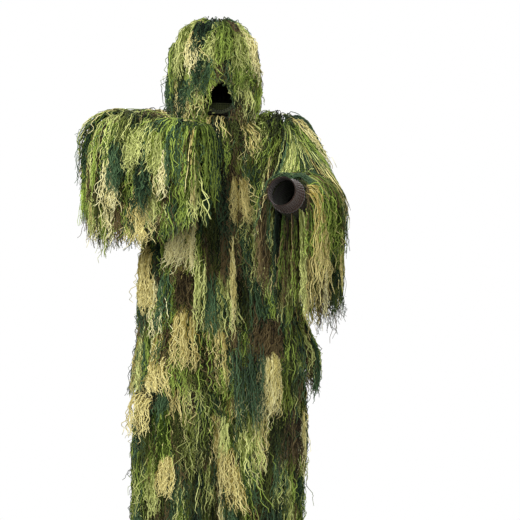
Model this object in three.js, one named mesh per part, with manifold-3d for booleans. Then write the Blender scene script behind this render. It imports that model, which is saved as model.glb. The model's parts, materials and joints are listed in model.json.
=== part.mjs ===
// A ghillie suit: a hooded jacket and a pair of trousers, both covered in tiers of loose yarn.
// It stands in the pose of a wearer with the right arm raised and folded and the left arm
// reaching forward. Everything is in millimetres, +Z is up and the front of the suit faces -Y.
// The origin is the base of the wearer's neck, which carries the suit.

import * as THREE from 'three';
import { LoftGeometry } from 'three/addons/geometries/LoftGeometry.js';
import { mergeVertices } from 'three/addons/utils/BufferGeometryUtils.js';
import Module from 'manifold-3d';

const wasm = await Module();
wasm.setup();

// ---- Driving dimensions ----------------------------------------------------------------

const CLOTH = 3;              // the garment cloth with its mesh lining
const GAP = 0.3;              // between pieces that touch
const YARN_FROM = CLOTH / 2 + 2;      // the yarn layer starts this far outside the cloth's middle
const YARN_TO = YARN_FROM + 13;       // and ends here
const RING_POINTS = 12;       // points round each cross section
const SQUARENESS = 2.4;       // exponent of the body's rounded cross sections

const NECK_RADIUS = 74;
const COLLAR_TOP = 38;
const JACKET_HEM = -700;
const HEM_ELASTIC = 26;
const JACKET_TIERS = [-10, -170, -318, -466, -620, -848];  // where the tiers of yarn part
const WAIST_TOP = -455;
const WAISTBAND = 38;
const SEAT_BOTTOM = -690;
const THIGH_TOP = -782;
const LEGS_PART = 22;         // the plane between the two legs, across the suit
const KNEE_HEIGHT = -985;
const KNEE_FOLD = 42;         // half the height of the cloth that folds at a knee
const TROUSER_HEM = -1385;
const ANKLE_ELASTIC = 26;
const LEG_TIERS = [-848, -1010, -1210, -1440];

const ZIP_TOP = -126;
const ZIP_BOTTOM = -684;
const ZIP_FRONT = -130;       // the flat front of the jacket, where the zip lies
const TAPE_WIDTH = 13;
const PLACKET = 2 * TAPE_WIDTH + 2;

const FAR = 4400;             // larger than the suit, for cutting blocks

// ---- Cross sections --------------------------------------------------------------------

// Horizontal sections of the jacket's cloth: height, middle and half sizes.
const JACKET_SECTIONS = [
  { z: -4, x: 0, y: 2, wide: 84, deep: 82 },
  { z: -24, x: 0, y: 2, wide: 128, deep: 92 },
  { z: -56, x: 0, y: -4, wide: 170, deep: 108 },
  { z: -124, x: 0, y: -10, wide: 182, deep: 120 },
  { z: -230, x: 0, y: -2, wide: 184, deep: 128 },
  { z: -460, x: -6, y: -2, wide: 206, deep: 128 },
  { z: -600, x: 14, y: 6, wide: 226, deep: 136 },
  { z: -700, x: 28, y: 18, wide: 254, deep: 148 },
  { z: -848, x: 8, y: 26, wide: 260, deep: 160 },
];

const SEAT_SECTIONS = [
  { z: -455, x: 0, y: 0, wide: 166, deep: 104 },
  { z: -580, x: 10, y: 4, wide: 186, deep: 114 },
  { z: -700, x: 20, y: 8, wide: 200, deep: 118 },
];

// Each leg from the crotch to the ankle.
const LEG_SECTIONS = {
  right: [
    { z: -640, x: -70, y: 8, wide: 76, deep: 80 },
    { z: -800, x: -116, y: 6, wide: 96, deep: 108 },
    { z: -985, x: -132, y: 4, wide: 98, deep: 108 },
    { z: -1300, x: -136, y: 10, wide: 94, deep: 100 },
    { z: -1440, x: -136, y: 12, wide: 90, deep: 96 },
  ],
  left: [
    { z: -640, x: 110, y: 8, wide: 76, deep: 80 },
    { z: -800, x: 138, y: 6, wide: 98, deep: 110 },
    { z: -985, x: 130, y: -4, wide: 98, deep: 108 },
    { z: -1300, x: 124, y: 0, wide: 94, deep: 100 },
    { z: -1440, x: 122, y: 2, wide: 90, deep: 96 },
  ],
};

// The hood before it is turned and bowed, facing -Y.
const HOOD_SECTIONS = [
  { z: 18, x: 0, y: 1, wide: 100, deep: 100 },
  { z: 70, x: 0, y: -7, wide: 110, deep: 115 },
  { z: 150, x: 0, y: -12, wide: 108, deep: 123 },
  { z: 216, x: 0, y: -10, wide: 94, deep: 109 },
  { z: 262, x: 0, y: -5, wide: 66, deep: 76 },
  { z: 286, x: 0, y: 0, wide: 26, deep: 30 },
];
const HOOD_TURN = THREE.MathUtils.degToRad(12);
const HOOD_BOW = THREE.MathUtils.degToRad(9);
const HOOD_AXIS = new THREE.Vector3(-14, 0, 0);
const FACE_CENTRE = 98;
const FACE_WIDE = 56;
const FACE_HIGH = 70;
const FACE_HEM = 11;
const HOOD_STRIP = 46;        // half the width of the hood's centre panel
const HOOD_BAND_TOP = 40;
const HOOD_YARN_BOTTOM = 19;
const CROWN_FROM = 176;       // the yarn of the crown hangs from above this height

// Shoulder, elbow and wrist of each sleeve, with the sleeve's radius at each.
const ARMS = {
  right: {
    shoulder: new THREE.Vector3(-180, -6, -86),
    elbow: new THREE.Vector3(-294, -160, -102),
    wrist: new THREE.Vector3(-84, -270, -102),
    radii: [76, 76, 52],
    foldEnd: 66,
  },
  left: {
    shoulder: new THREE.Vector3(184, -8, -88),
    elbow: new THREE.Vector3(276, -218, -292),
    wrist: new THREE.Vector3(200, -412, -248),
    radii: [72, 68, 48],
    foldEnd: 126,
  },
};
const ELBOW_FOLD = 24;        // half the length of the cloth that folds at an elbow
const CUFF_LENGTH = 58;
const CUFF_RADIUS = 40;
const ARM_YARN_DROP = 44;     // how far the yarn under a sleeve hangs below its sides

// ---- Solids ----------------------------------------------------------------------------

function asManifold(geometry) {
  const bare = new THREE.BufferGeometry();
  bare.setAttribute('position', geometry.attributes.position);
  bare.setIndex(geometry.index);
  const merged = mergeVertices(bare, 1e-4);
  return new wasm.Manifold(new wasm.Mesh({
    numProp: 3,
    vertProperties: new Float32Array(merged.attributes.position.array),
    triVerts: new Uint32Array(merged.index.array),
  }));
}

function asGeometry(solid) {
  const mesh = solid.getMesh();
  const geometry = new THREE.BufferGeometry();
  geometry.setAttribute('position', new THREE.BufferAttribute(mesh.vertProperties, 3));
  geometry.setIndex(new THREE.BufferAttribute(mesh.triVerts, 1));
  geometry.computeVertexNormals();
  return geometry;
}

// The largest closed body of a solid, so that a cut leaves no loose slivers.
function largest(solid) {
  return solid.decompose().reduce((best, body) => (body.volume() > best.volume() ? body : best));
}

// A closed ring of points: a rounded outline in the plane of two directions.
function ring(centre, across, along, wide, deep, power) {
  const points = [];
  for (let i = 0; i < RING_POINTS; i++) {
    const angle = (i / RING_POINTS) * Math.PI * 2;
    const c = Math.cos(angle);
    const s = Math.sin(angle);
    const a = Math.sign(c) * Math.abs(c) ** (2 / power) * wide;
    const b = Math.sign(s) * Math.abs(s) ** (2 / power) * deep;
    points.push(centre.clone().addScaledVector(across, a).addScaledVector(along, b));
  }
  return points;
}

function loft(rings) {
  return asManifold(new LoftGeometry(rings, { capStart: true, capEnd: true }));
}

const X = new THREE.Vector3(1, 0, 0);
const Y = new THREE.Vector3(0, 1, 0);
const Z = new THREE.Vector3(0, 0, 1);

// The solid through a list of horizontal sections, grown outwards by some millimetres.
// Its two end faces are also moved outwards by `past`, so that a core cut by it is open.
function stack(sections, grow, past = 0) {
  const upwards = [...sections].sort((a, b) => a.z - b.z);
  const last = upwards.length - 1;
  return loft(upwards.map((s, i) => {
    const shift = (i === 0 ? -past : 0) + (i === last ? past : 0);
    const centre = new THREE.Vector3(s.x, s.y, s.z + shift);
    return ring(centre, X, Y, s.wide + grow, s.deep + grow, SQUARENESS);
  }));
}

// A round tube from one point to another, grown outwards; `hang` lengthens it downwards.
function tube(from, to, radiusFrom, radiusTo, grow, past = 0, hang = 0) {
  const direction = to.clone().sub(from).normalize();
  const side = new THREE.Vector3().crossVectors(Z, direction);
  if (side.lengthSq() < 0.01) side.copy(X);
  side.normalize();
  const up = new THREE.Vector3().crossVectors(direction, side).normalize();
  const ends = [
    [from.clone().addScaledVector(direction, -past), radiusFrom],
    [to.clone().addScaledVector(direction, past), radiusTo],
  ];
  return loft(ends.map(([centre, radius]) => {
    const middle = centre.addScaledVector(up, -hang / 2);
    return ring(middle, side, up, radius + grow, radius + grow + hang / 2, 2);
  }));
}

function ball(centre, radius) {
  const geometry = new THREE.SphereGeometry(radius, 10, 6);
  geometry.rotateX(Math.PI / 2);
  geometry.translate(centre.x, centre.y, centre.z);
  return asManifold(geometry);
}

function block(from, to) {
  const geometry = new THREE.BoxGeometry(to.x - from.x, to.y - from.y, to.z - from.z);
  geometry.translate((from.x + to.x) / 2, (from.y + to.y) / 2, (from.z + to.z) / 2);
  return asManifold(geometry);
}

// Everything on the side of a plane that its normal points to.
function halfSpace(point, normal) {
  const geometry = new THREE.BoxGeometry(FAR, FAR, FAR);
  geometry.translate(0, 0, FAR / 2);
  geometry.applyQuaternion(new THREE.Quaternion().setFromUnitVectors(Z, normal.clone().normalize()));
  geometry.translate(point.x, point.y, point.z);
  return asManifold(geometry);
}

function above(z) {
  return halfSpace(new THREE.Vector3(0, 0, z), Z);
}

function below(z) {
  return halfSpace(new THREE.Vector3(0, 0, z), Z.clone().negate());
}

// The band of a solid between two heights, with half a gap left at each.
function band(solid, high, low) {
  return solid.intersect(below(high - GAP / 2)).intersect(above(low + GAP / 2));
}

// ---- The model group -------------------------------------------------------------------

const suit = new THREE.Group();

const LOOKS = {
  cloth: { color: 0x4c5236, roughness: 0.95, metalness: 0 },
  rib: { color: 0x3a2c22, roughness: 0.95, metalness: 0 },
  elastic: { color: 0x3b4030, roughness: 0.9, metalness: 0 },
  tape: { color: 0x2f3326, roughness: 0.9, metalness: 0 },
  metal: { color: 0x3d3a32, roughness: 0.45, metalness: 0.9 },
  greenYarn: { color: 0x5d7a33, roughness: 1, metalness: 0 },
  darkYarn: { color: 0x33452f, roughness: 1, metalness: 0 },
  tanYarn: { color: 0x9c8c5c, roughness: 1, metalness: 0 },
};

function add(name, solid, look) {
  const mesh = new THREE.Mesh(asGeometry(largest(solid)), new THREE.MeshStandardMaterial(LOOKS[look]));
  mesh.name = name;
  suit.add(mesh);
}

// ---- Sleeves ---------------------------------------------------------------------------

const UPPER = 'upper';
const FORE = 'fore';

// One half of a sleeve as a solid, grown by some millimetres.
function sleeveTube(arm, half, grow, past = 0, hang = 0) {
  const [atShoulder, atElbow, atWrist] = arm.radii;
  if (half === UPPER) return tube(arm.shoulder, arm.elbow, atShoulder, atElbow, grow, past, hang);
  return tube(arm.elbow, arm.wrist, atElbow, atWrist, grow, past, hang);
}

// The sleeve from shoulder to wrist, with a round elbow.
function sleeveSolid(arm, grow, past = 0, hang = 0) {
  return sleeveTube(arm, UPPER, grow, past, hang)
    .add(sleeveTube(arm, FORE, grow, past, hang))
    .add(ball(arm.elbow, arm.radii[1] + grow));
}

// A layer of the sleeve between two distances from its cloth's middle, parted by planes into
// the fold at the shoulder, the upper arm, the fold at the elbow and the forearm.
function sleevePieces(arm, from, to, hang = 0) {
  const upper = arm.elbow.clone().sub(arm.shoulder).normalize();
  const fore = arm.wrist.clone().sub(arm.elbow).normalize();
  const across = upper.clone().add(fore).normalize();
  const elbowFrom = arm.elbow.clone().addScaledVector(across, -ELBOW_FOLD);
  const elbowTo = arm.elbow.clone().addScaledVector(across, ELBOW_FOLD);
  const shoulderEnd = arm.shoulder.clone().addScaledVector(upper, arm.foldEnd);

  const layer = (half) => sleeveTube(arm, half, to, 0, hang)
    .subtract(sleeveTube(arm, half, from, CLOTH));
  const capped = (grow, past, drop) => sleeveTube(arm, UPPER, grow, past, drop)
    .add(ball(arm.shoulder, arm.radii[0] + grow));
  const before = (point, normal) => halfSpace(
    point.clone().addScaledVector(normal, -GAP / 2), normal.clone().negate());
  const after = (point, normal) => halfSpace(point.clone().addScaledVector(normal, GAP / 2), normal);

  const upperHalf = capped(to, 0, hang).subtract(capped(from, CLOTH, 0))
    .intersect(before(elbowFrom, across)).subtract(jacketKeepOut);
  const bend = sleeveSolid(arm, to, 0, hang).subtract(sleeveSolid(arm, from));
  return {
    upperHalf,
    shoulder: upperHalf.intersect(before(shoulderEnd, upper)),
    upper: upperHalf.intersect(after(shoulderEnd, upper)),
    elbow: bend.intersect(after(elbowFrom, across)).intersect(before(elbowTo, across)),
    fore: layer(FORE).intersect(after(elbowTo, across)),
  };
}

// ---- Jacket ----------------------------------------------------------------------------

const jacketOuter = stack(JACKET_SECTIONS, CLOTH / 2);
const jacketShell = jacketOuter.subtract(stack(JACKET_SECTIONS, -CLOTH / 2, CLOTH));
const jacketKeepOut = stack(JACKET_SECTIONS, CLOTH / 2 + GAP);

function addJacket() {
  const cloth = band(jacketShell, -4, JACKET_HEM);
  const armholes = Object.values(ARMS).map((arm) => ball(arm.shoulder, arm.radii[0] + 6));
  const body = armholes.reduce((rest, hole) => rest.subtract(hole), cloth);
  const front = halfSpace(new THREE.Vector3(0, -GAP / 2, 0), Y.clone().negate());
  const back = halfSpace(new THREE.Vector3(0, GAP / 2, 0), Y);
  const hemTop = JACKET_HEM + HEM_ELASTIC;
  const panels = band(body, FAR / 2, hemTop);
  const rightOfZip = halfSpace(new THREE.Vector3(-PLACKET / 2, 0, 0), X.clone().negate());
  const leftOfZip = halfSpace(new THREE.Vector3(PLACKET / 2, 0, 0), X);
  add('jacket_back_panel', panels.intersect(back), 'cloth');
  add('jacket_front_panel_right', panels.intersect(front).intersect(rightOfZip), 'cloth');
  add('jacket_front_panel_left', panels.intersect(front).intersect(leftOfZip), 'cloth');

  const flap = panels.intersect(front).intersect(block(
    new THREE.Vector3(-PLACKET / 2 + GAP, -FAR / 2, ZIP_TOP + 12),
    new THREE.Vector3(PLACKET / 2 - GAP, 0, 0)));
  add('jacket_throat_tab', flap, 'cloth');

  const hem = band(body, hemTop, JACKET_HEM).subtract(block(
    new THREE.Vector3(-PLACKET / 2, -FAR / 2, JACKET_HEM - 10),
    new THREE.Vector3(PLACKET / 2, 0, hemTop + 10)));
  add('jacket_hem_elastic', hem, 'elastic');
}

function addZip() {
  const tapeBack = ZIP_FRONT + CLOTH / 2;
  const tapeFront = ZIP_FRONT - CLOTH / 2;
  const chain = 2.6;
  for (const side of [-1, 1]) {
    const near = side * (chain + GAP);
    const far = side * (PLACKET / 2 - GAP);
    add(side < 0 ? 'zip_tape_right' : 'zip_tape_left', block(
      new THREE.Vector3(Math.min(near, far), tapeFront, ZIP_BOTTOM),
      new THREE.Vector3(Math.max(near, far), tapeBack, ZIP_TOP)), 'tape');
  }
  add('zip_chain', block(
    new THREE.Vector3(-chain, tapeFront - 0.6, ZIP_BOTTOM + 12),
    new THREE.Vector3(chain, tapeBack, ZIP_TOP)), 'metal');
  add('zip_bottom_stop', block(
    new THREE.Vector3(-chain, tapeFront - 1.6, ZIP_BOTTOM),
    new THREE.Vector3(chain, tapeBack, ZIP_BOTTOM + 12 - GAP)), 'metal');

  const sliderTop = ZIP_TOP - 4;
  const sliderLength = 14;
  const sliderFront = tapeFront - 0.6 - GAP;
  const body = block(
    new THREE.Vector3(-5.5, sliderFront - 3, sliderTop - sliderLength),
    new THREE.Vector3(5.5, sliderFront, sliderTop));
  const bridge = block(
    new THREE.Vector3(-1.6, sliderFront - 7.5, sliderTop - sliderLength + 2),
    new THREE.Vector3(1.6, sliderFront - 3, sliderTop - 1));
  const eye = block(
    new THREE.Vector3(-5, sliderFront - 6, sliderTop - sliderLength + 4),
    new THREE.Vector3(5, sliderFront - 3, sliderTop - 4));
  add('zip_slider', body.add(bridge).subtract(eye), 'metal');

  const tabTop = sliderTop - 10.7;
  const outline = new THREE.Shape();
  outline.absarc(0, 0, 4.5, 0, Math.PI, false);
  outline.absarc(0, -24, 3.4, Math.PI, Math.PI * 2, false);
  outline.closePath();
  const hole = new THREE.Path();
  hole.moveTo(-2.4, 2.2);
  hole.lineTo(-2.4, -5);
  hole.lineTo(2.4, -5);
  hole.lineTo(2.4, 2.2);
  hole.closePath();
  outline.holes.push(hole);
  const plate = new THREE.ExtrudeGeometry(outline, { depth: 1.4, bevelEnabled: false, curveSegments: 6 });
  plate.rotateX(Math.PI / 2);
  plate.translate(0, sliderFront - 3.9, tabTop);
  add('zip_pull_tab', asManifold(plate), 'metal');
}

function addSleeves() {
  for (const [side, arm] of Object.entries(ARMS)) {
    const pieces = sleevePieces(arm, -CLOTH / 2, CLOTH / 2);
    add(`shoulder_fold_${side}`, pieces.shoulder, 'cloth');
    add(`sleeve_upper_${side}`, pieces.upper, 'cloth');
    add(`elbow_fold_${side}`, pieces.elbow, 'cloth');
    add(`sleeve_forearm_${side}`, pieces.fore, 'cloth');

    const reach = arm.wrist.clone().sub(arm.elbow).normalize();
    const start = arm.wrist.clone().addScaledVector(reach, GAP);
    const end = start.clone().addScaledVector(reach, CUFF_LENGTH);
    const wide = arm.radii[2];
    const outer = tube(start, end, wide, CUFF_RADIUS, CLOTH / 2);
    add(`cuff_${side}`, outer.subtract(tube(start, end, wide, CUFF_RADIUS, -CLOTH / 2, 1)), 'rib');
  }
}

// ---- Collar and hood -------------------------------------------------------------------

function addCollar() {
  const ringAt = (z, radius) => ring(new THREE.Vector3(0, 0, z), X, Y, radius, radius, 2);
  const outer = loft([ringAt(-2, NECK_RADIUS), ringAt(COLLAR_TOP, NECK_RADIUS - 4)]);
  const inner = loft([ringAt(-3, NECK_RADIUS - CLOTH), ringAt(COLLAR_TOP + 1, NECK_RADIUS - 4 - CLOTH)]);
  add('collar', outer.subtract(inner), 'cloth');
}

// Turns and bows what was built facing -Y, about the neck.
const hoodPlace = new THREE.Matrix4()
  .makeTranslation(HOOD_AXIS.x, HOOD_AXIS.y, HOOD_AXIS.z)
  .multiply(new THREE.Matrix4().makeRotationZ(HOOD_TURN))
  .multiply(new THREE.Matrix4().makeTranslation(0, 0, 20))
  .multiply(new THREE.Matrix4().makeRotationX(HOOD_BOW))
  .multiply(new THREE.Matrix4().makeTranslation(0, 0, -20));

function faceCylinder(grow, to = FAR / 4) {
  const geometry = new THREE.CylinderGeometry(1, 1, to, 16);
  geometry.scale(FACE_WIDE + grow, 1, FACE_HIGH + grow);
  geometry.translate(0, -to / 2 - 20, FACE_CENTRE);
  return asManifold(geometry);
}

function addHoodPiece(name, solid, look) {
  add(name, asManifold(asGeometry(largest(solid)).applyMatrix4(hoodPlace)), look);
}

function addHood() {
  const inside = HOOD_SECTIONS.slice(0, -1);
  const shell = stack(HOOD_SECTIONS, CLOTH / 2).subtract(stack(inside, -CLOTH / 2, 0.5));
  const cut = shell.subtract(faceCylinder(FACE_HEM + GAP));
  addHoodPiece('hood_centre_panel', cut.intersect(block(
    new THREE.Vector3(-HOOD_STRIP, -FAR / 2, HOOD_BAND_TOP),
    new THREE.Vector3(HOOD_STRIP, FAR / 2, FAR / 2))), 'cloth');
  for (const side of [-1, 1]) {
    const edge = new THREE.Vector3(side * (HOOD_STRIP + GAP), 0, 0);
    const half = halfSpace(edge, X.clone().multiplyScalar(side));
    addHoodPiece(side < 0 ? 'hood_side_panel_right' : 'hood_side_panel_left',
      cut.intersect(half).intersect(above(HOOD_BAND_TOP)), 'cloth');
  }
  addHoodPiece('hood_neck_band', cut.intersect(below(HOOD_BAND_TOP - GAP)), 'cloth');
  const lip = stack(HOOD_SECTIONS, CLOTH / 2 + 2).subtract(stack(inside, -CLOTH / 2 - 2));
  addHoodPiece('hood_face_hem', lip.intersect(faceCylinder(FACE_HEM)).subtract(faceCylinder(0)), 'elastic');
}

function addHoodYarn() {
  const layer = stack(HOOD_SECTIONS, YARN_TO).subtract(stack(HOOD_SECTIONS, YARN_FROM));
  const clear = layer.subtract(faceCylinder(FACE_HEM + 6));
  addHoodPiece('yarn_hood_crown', clear.intersect(above(CROWN_FROM)), 'greenYarn');
  const skirt = band(clear, CROWN_FROM - GAP, HOOD_YARN_BOTTOM);
  addHoodPiece('yarn_hood_mantle', skirt, 'darkYarn');
}

// ---- Trousers --------------------------------------------------------------------------

function trouserSolid(grow, past) {
  const legs = Object.values(LEG_SECTIONS).map((sections) => stack(sections, grow, past));
  return legs.reduce((sum, leg) => sum.add(leg), stack(SEAT_SECTIONS, grow, past));
}

function addTrousers() {
  const shell = trouserSolid(CLOTH / 2, 0).subtract(trouserSolid(-CLOTH / 2, CLOTH));
  add('trouser_waistband', band(shell, WAIST_TOP + 1, WAIST_TOP - WAISTBAND), 'elastic');
  const seat = band(shell, WAIST_TOP - WAISTBAND, SEAT_BOTTOM);
  const front = halfSpace(new THREE.Vector3(0, -GAP / 2, 0), Y.clone().negate());
  const back = halfSpace(new THREE.Vector3(0, GAP / 2, 0), Y);
  add('trouser_seat_front', seat.intersect(front), 'cloth');
  add('trouser_seat_back', seat.intersect(back), 'cloth');
  add('trouser_crotch_fold', band(shell, SEAT_BOTTOM, THIGH_TOP), 'cloth');
  for (const [side, sections] of Object.entries(LEG_SECTIONS)) {
    const outwards = X.clone().multiplyScalar(side === 'right' ? -1 : 1);
    const half = halfSpace(new THREE.Vector3(LEGS_PART, 0, 0), outwards);
    const leg = stack(sections, CLOTH / 2).subtract(stack(sections, -CLOTH / 2, CLOTH)).intersect(half);
    add(`trouser_thigh_${side}`, band(leg, THIGH_TOP, KNEE_HEIGHT + KNEE_FOLD), 'cloth');
    add(`knee_fold_${side}`, band(leg, KNEE_HEIGHT + KNEE_FOLD, KNEE_HEIGHT - KNEE_FOLD), 'cloth');
    add(`trouser_shin_${side}`, band(leg, KNEE_HEIGHT - KNEE_FOLD, TROUSER_HEM + ANKLE_ELASTIC), 'cloth');
    add(`ankle_elastic_${side}`, band(leg, TROUSER_HEM + ANKLE_ELASTIC, TROUSER_HEM), 'elastic');
  }
}

// ---- Yarn tiers ------------------------------------------------------------------------

function addYarn() {
  const sleeveKeepOut = Object.values(ARMS)
    .map((arm) => sleeveSolid(arm, YARN_TO + 3 * GAP, 3 * GAP, ARM_YARN_DROP)
      .add(ball(arm.shoulder, arm.radii[0] + YARN_TO + 3 * GAP)))
    .reduce((sum, solid) => sum.add(solid));
  const opening = block(
    new THREE.Vector3(-PLACKET / 2 - 8, -FAR / 2, -FAR), new THREE.Vector3(PLACKET / 2 + 8, 0, FAR));
  const layer = stack(JACKET_SECTIONS, YARN_TO).subtract(stack(JACKET_SECTIONS, YARN_FROM, 1))
    .subtract(opening).subtract(sleeveKeepOut);
  const looks = ['greenYarn', 'darkYarn', 'tanYarn', 'greenYarn', 'darkYarn'];
  for (let i = 0; i + 1 < JACKET_TIERS.length; i++) {
    add(`yarn_jacket_tier_${i + 1}`, band(layer, JACKET_TIERS[i], JACKET_TIERS[i + 1]), looks[i]);
  }

  for (const [side, arm] of Object.entries(ARMS)) {
    const pieces = sleevePieces(arm, YARN_FROM, YARN_TO, ARM_YARN_DROP);
    add(`yarn_sleeve_upper_${side}`, pieces.upperHalf, 'greenYarn');
    add(`yarn_elbow_${side}`, pieces.elbow.subtract(jacketKeepOut), 'darkYarn');
    add(`yarn_forearm_${side}`, pieces.fore, 'tanYarn');
  }

  for (const [side, sections] of Object.entries(LEG_SECTIONS)) {
    const leg = stack(sections, YARN_TO).subtract(stack(sections, YARN_FROM, 1));
    const names = ['thigh', 'knee', 'shin'];
    for (let i = 0; i < names.length; i++) {
      add(`yarn_${names[i]}_${side}`, band(leg, LEG_TIERS[i], LEG_TIERS[i + 1]), looks[i]);
    }
  }
}

addJacket();
addZip();
addSleeves();
addCollar();
addHood();
addHoodYarn();
addTrousers();
addYarn();

export default suit;
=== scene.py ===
"""A ghillie suit, dressed in loose yarn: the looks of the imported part, built in Blender.

The cloth of the jacket, hood and trousers is made of thin curved sheets that follow the CAD.
The yarn is made strand by strand: rows of single-colour tassels are sewn on the cloth, and each
strand hangs from its root under its own weight and lies against whatever it meets.
Everything is in metres, +Z is up and the front of the suit faces -Y.
"""

import json
import math

import bpy
import numpy as np
from mathutils import Matrix, Vector
from mathutils.bvhtree import BVHTree
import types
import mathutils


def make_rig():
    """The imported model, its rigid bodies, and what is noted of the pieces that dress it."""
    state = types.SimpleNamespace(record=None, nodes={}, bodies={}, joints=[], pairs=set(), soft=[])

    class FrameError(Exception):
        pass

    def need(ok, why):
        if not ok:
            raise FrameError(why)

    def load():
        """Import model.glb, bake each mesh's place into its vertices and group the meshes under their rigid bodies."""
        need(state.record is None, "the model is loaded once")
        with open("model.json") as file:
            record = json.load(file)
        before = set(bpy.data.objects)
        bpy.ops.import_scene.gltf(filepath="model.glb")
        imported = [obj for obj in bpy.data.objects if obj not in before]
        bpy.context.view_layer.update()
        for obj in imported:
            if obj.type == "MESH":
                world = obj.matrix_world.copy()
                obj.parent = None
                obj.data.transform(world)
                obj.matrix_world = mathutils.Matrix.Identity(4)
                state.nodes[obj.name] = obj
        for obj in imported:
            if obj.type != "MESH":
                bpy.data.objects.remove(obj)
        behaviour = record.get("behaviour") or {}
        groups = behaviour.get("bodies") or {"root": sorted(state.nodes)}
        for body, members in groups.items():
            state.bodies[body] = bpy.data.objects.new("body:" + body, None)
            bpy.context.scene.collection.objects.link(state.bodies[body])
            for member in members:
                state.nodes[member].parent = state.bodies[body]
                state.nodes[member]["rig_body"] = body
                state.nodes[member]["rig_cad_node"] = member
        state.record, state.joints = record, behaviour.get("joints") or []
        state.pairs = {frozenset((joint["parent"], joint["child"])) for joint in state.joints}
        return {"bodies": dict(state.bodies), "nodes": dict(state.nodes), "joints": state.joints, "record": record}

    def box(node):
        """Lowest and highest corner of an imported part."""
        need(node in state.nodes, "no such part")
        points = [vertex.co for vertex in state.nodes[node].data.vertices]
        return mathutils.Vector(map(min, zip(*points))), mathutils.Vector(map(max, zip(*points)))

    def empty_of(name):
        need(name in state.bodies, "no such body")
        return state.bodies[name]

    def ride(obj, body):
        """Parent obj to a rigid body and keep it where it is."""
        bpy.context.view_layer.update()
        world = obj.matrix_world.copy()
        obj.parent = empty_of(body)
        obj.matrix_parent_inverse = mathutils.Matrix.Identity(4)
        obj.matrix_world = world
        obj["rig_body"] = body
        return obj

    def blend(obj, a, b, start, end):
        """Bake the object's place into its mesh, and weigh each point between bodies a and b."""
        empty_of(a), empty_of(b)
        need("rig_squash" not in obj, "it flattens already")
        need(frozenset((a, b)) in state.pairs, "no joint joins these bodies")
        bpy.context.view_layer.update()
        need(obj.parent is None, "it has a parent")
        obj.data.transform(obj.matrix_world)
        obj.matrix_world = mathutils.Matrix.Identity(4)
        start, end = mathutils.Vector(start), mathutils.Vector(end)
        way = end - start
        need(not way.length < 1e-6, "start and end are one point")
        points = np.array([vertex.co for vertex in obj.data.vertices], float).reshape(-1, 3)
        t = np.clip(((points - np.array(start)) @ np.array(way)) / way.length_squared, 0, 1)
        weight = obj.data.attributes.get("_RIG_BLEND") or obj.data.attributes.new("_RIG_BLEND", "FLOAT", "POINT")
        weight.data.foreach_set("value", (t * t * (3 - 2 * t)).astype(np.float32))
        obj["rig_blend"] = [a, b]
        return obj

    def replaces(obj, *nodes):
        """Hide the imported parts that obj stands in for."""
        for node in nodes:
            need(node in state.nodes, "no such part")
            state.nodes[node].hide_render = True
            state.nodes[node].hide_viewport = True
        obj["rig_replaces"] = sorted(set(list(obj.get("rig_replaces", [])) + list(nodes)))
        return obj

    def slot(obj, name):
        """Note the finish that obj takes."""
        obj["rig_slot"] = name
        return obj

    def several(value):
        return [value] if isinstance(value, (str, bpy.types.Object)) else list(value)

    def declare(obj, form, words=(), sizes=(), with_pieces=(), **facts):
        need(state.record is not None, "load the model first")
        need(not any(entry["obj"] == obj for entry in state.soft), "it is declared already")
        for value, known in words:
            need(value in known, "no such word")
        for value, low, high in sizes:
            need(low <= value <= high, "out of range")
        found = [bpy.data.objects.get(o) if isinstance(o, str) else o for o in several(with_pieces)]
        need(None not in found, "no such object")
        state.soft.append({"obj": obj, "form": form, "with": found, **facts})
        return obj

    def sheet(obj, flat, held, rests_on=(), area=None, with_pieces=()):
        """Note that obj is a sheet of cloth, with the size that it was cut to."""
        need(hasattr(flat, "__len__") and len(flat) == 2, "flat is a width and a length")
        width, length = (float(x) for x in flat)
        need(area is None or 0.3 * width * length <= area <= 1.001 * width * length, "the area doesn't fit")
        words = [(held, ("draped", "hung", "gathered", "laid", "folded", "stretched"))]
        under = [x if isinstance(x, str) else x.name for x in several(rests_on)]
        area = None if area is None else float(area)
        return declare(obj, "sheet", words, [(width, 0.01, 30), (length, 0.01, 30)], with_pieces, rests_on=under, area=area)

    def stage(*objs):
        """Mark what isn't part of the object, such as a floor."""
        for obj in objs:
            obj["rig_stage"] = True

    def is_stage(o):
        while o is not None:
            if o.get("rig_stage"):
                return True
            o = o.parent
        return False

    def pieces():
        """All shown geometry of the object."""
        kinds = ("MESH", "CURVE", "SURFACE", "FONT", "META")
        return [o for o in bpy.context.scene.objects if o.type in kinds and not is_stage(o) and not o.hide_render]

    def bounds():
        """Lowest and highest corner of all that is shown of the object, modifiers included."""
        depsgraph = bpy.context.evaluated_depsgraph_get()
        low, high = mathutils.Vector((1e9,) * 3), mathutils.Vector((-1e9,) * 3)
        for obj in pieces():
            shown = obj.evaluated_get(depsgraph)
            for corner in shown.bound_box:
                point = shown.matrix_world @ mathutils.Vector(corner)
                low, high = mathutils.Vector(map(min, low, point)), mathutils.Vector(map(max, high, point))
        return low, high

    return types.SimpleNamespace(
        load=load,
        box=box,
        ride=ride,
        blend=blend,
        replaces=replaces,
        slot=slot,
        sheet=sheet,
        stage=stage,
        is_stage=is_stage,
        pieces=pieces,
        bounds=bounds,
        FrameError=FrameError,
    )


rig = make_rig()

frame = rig.load()
CAD_LOW, CAD_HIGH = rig.bounds()
NODES = frame["nodes"]
JOINTS = {joint["name"]: joint for joint in frame["joints"]}
SLOTS = {part["node"]: part["material_slot"] for part in frame["record"]["subparts"]}
rng = np.random.default_rng(7)


def show(name, data):
    """A new object in the scene."""
    thing = bpy.data.objects.new(name, data)
    bpy.context.scene.collection.objects.link(thing)
    return thing


# ---- Camera ----------------------------------------------------------------------------

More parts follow.
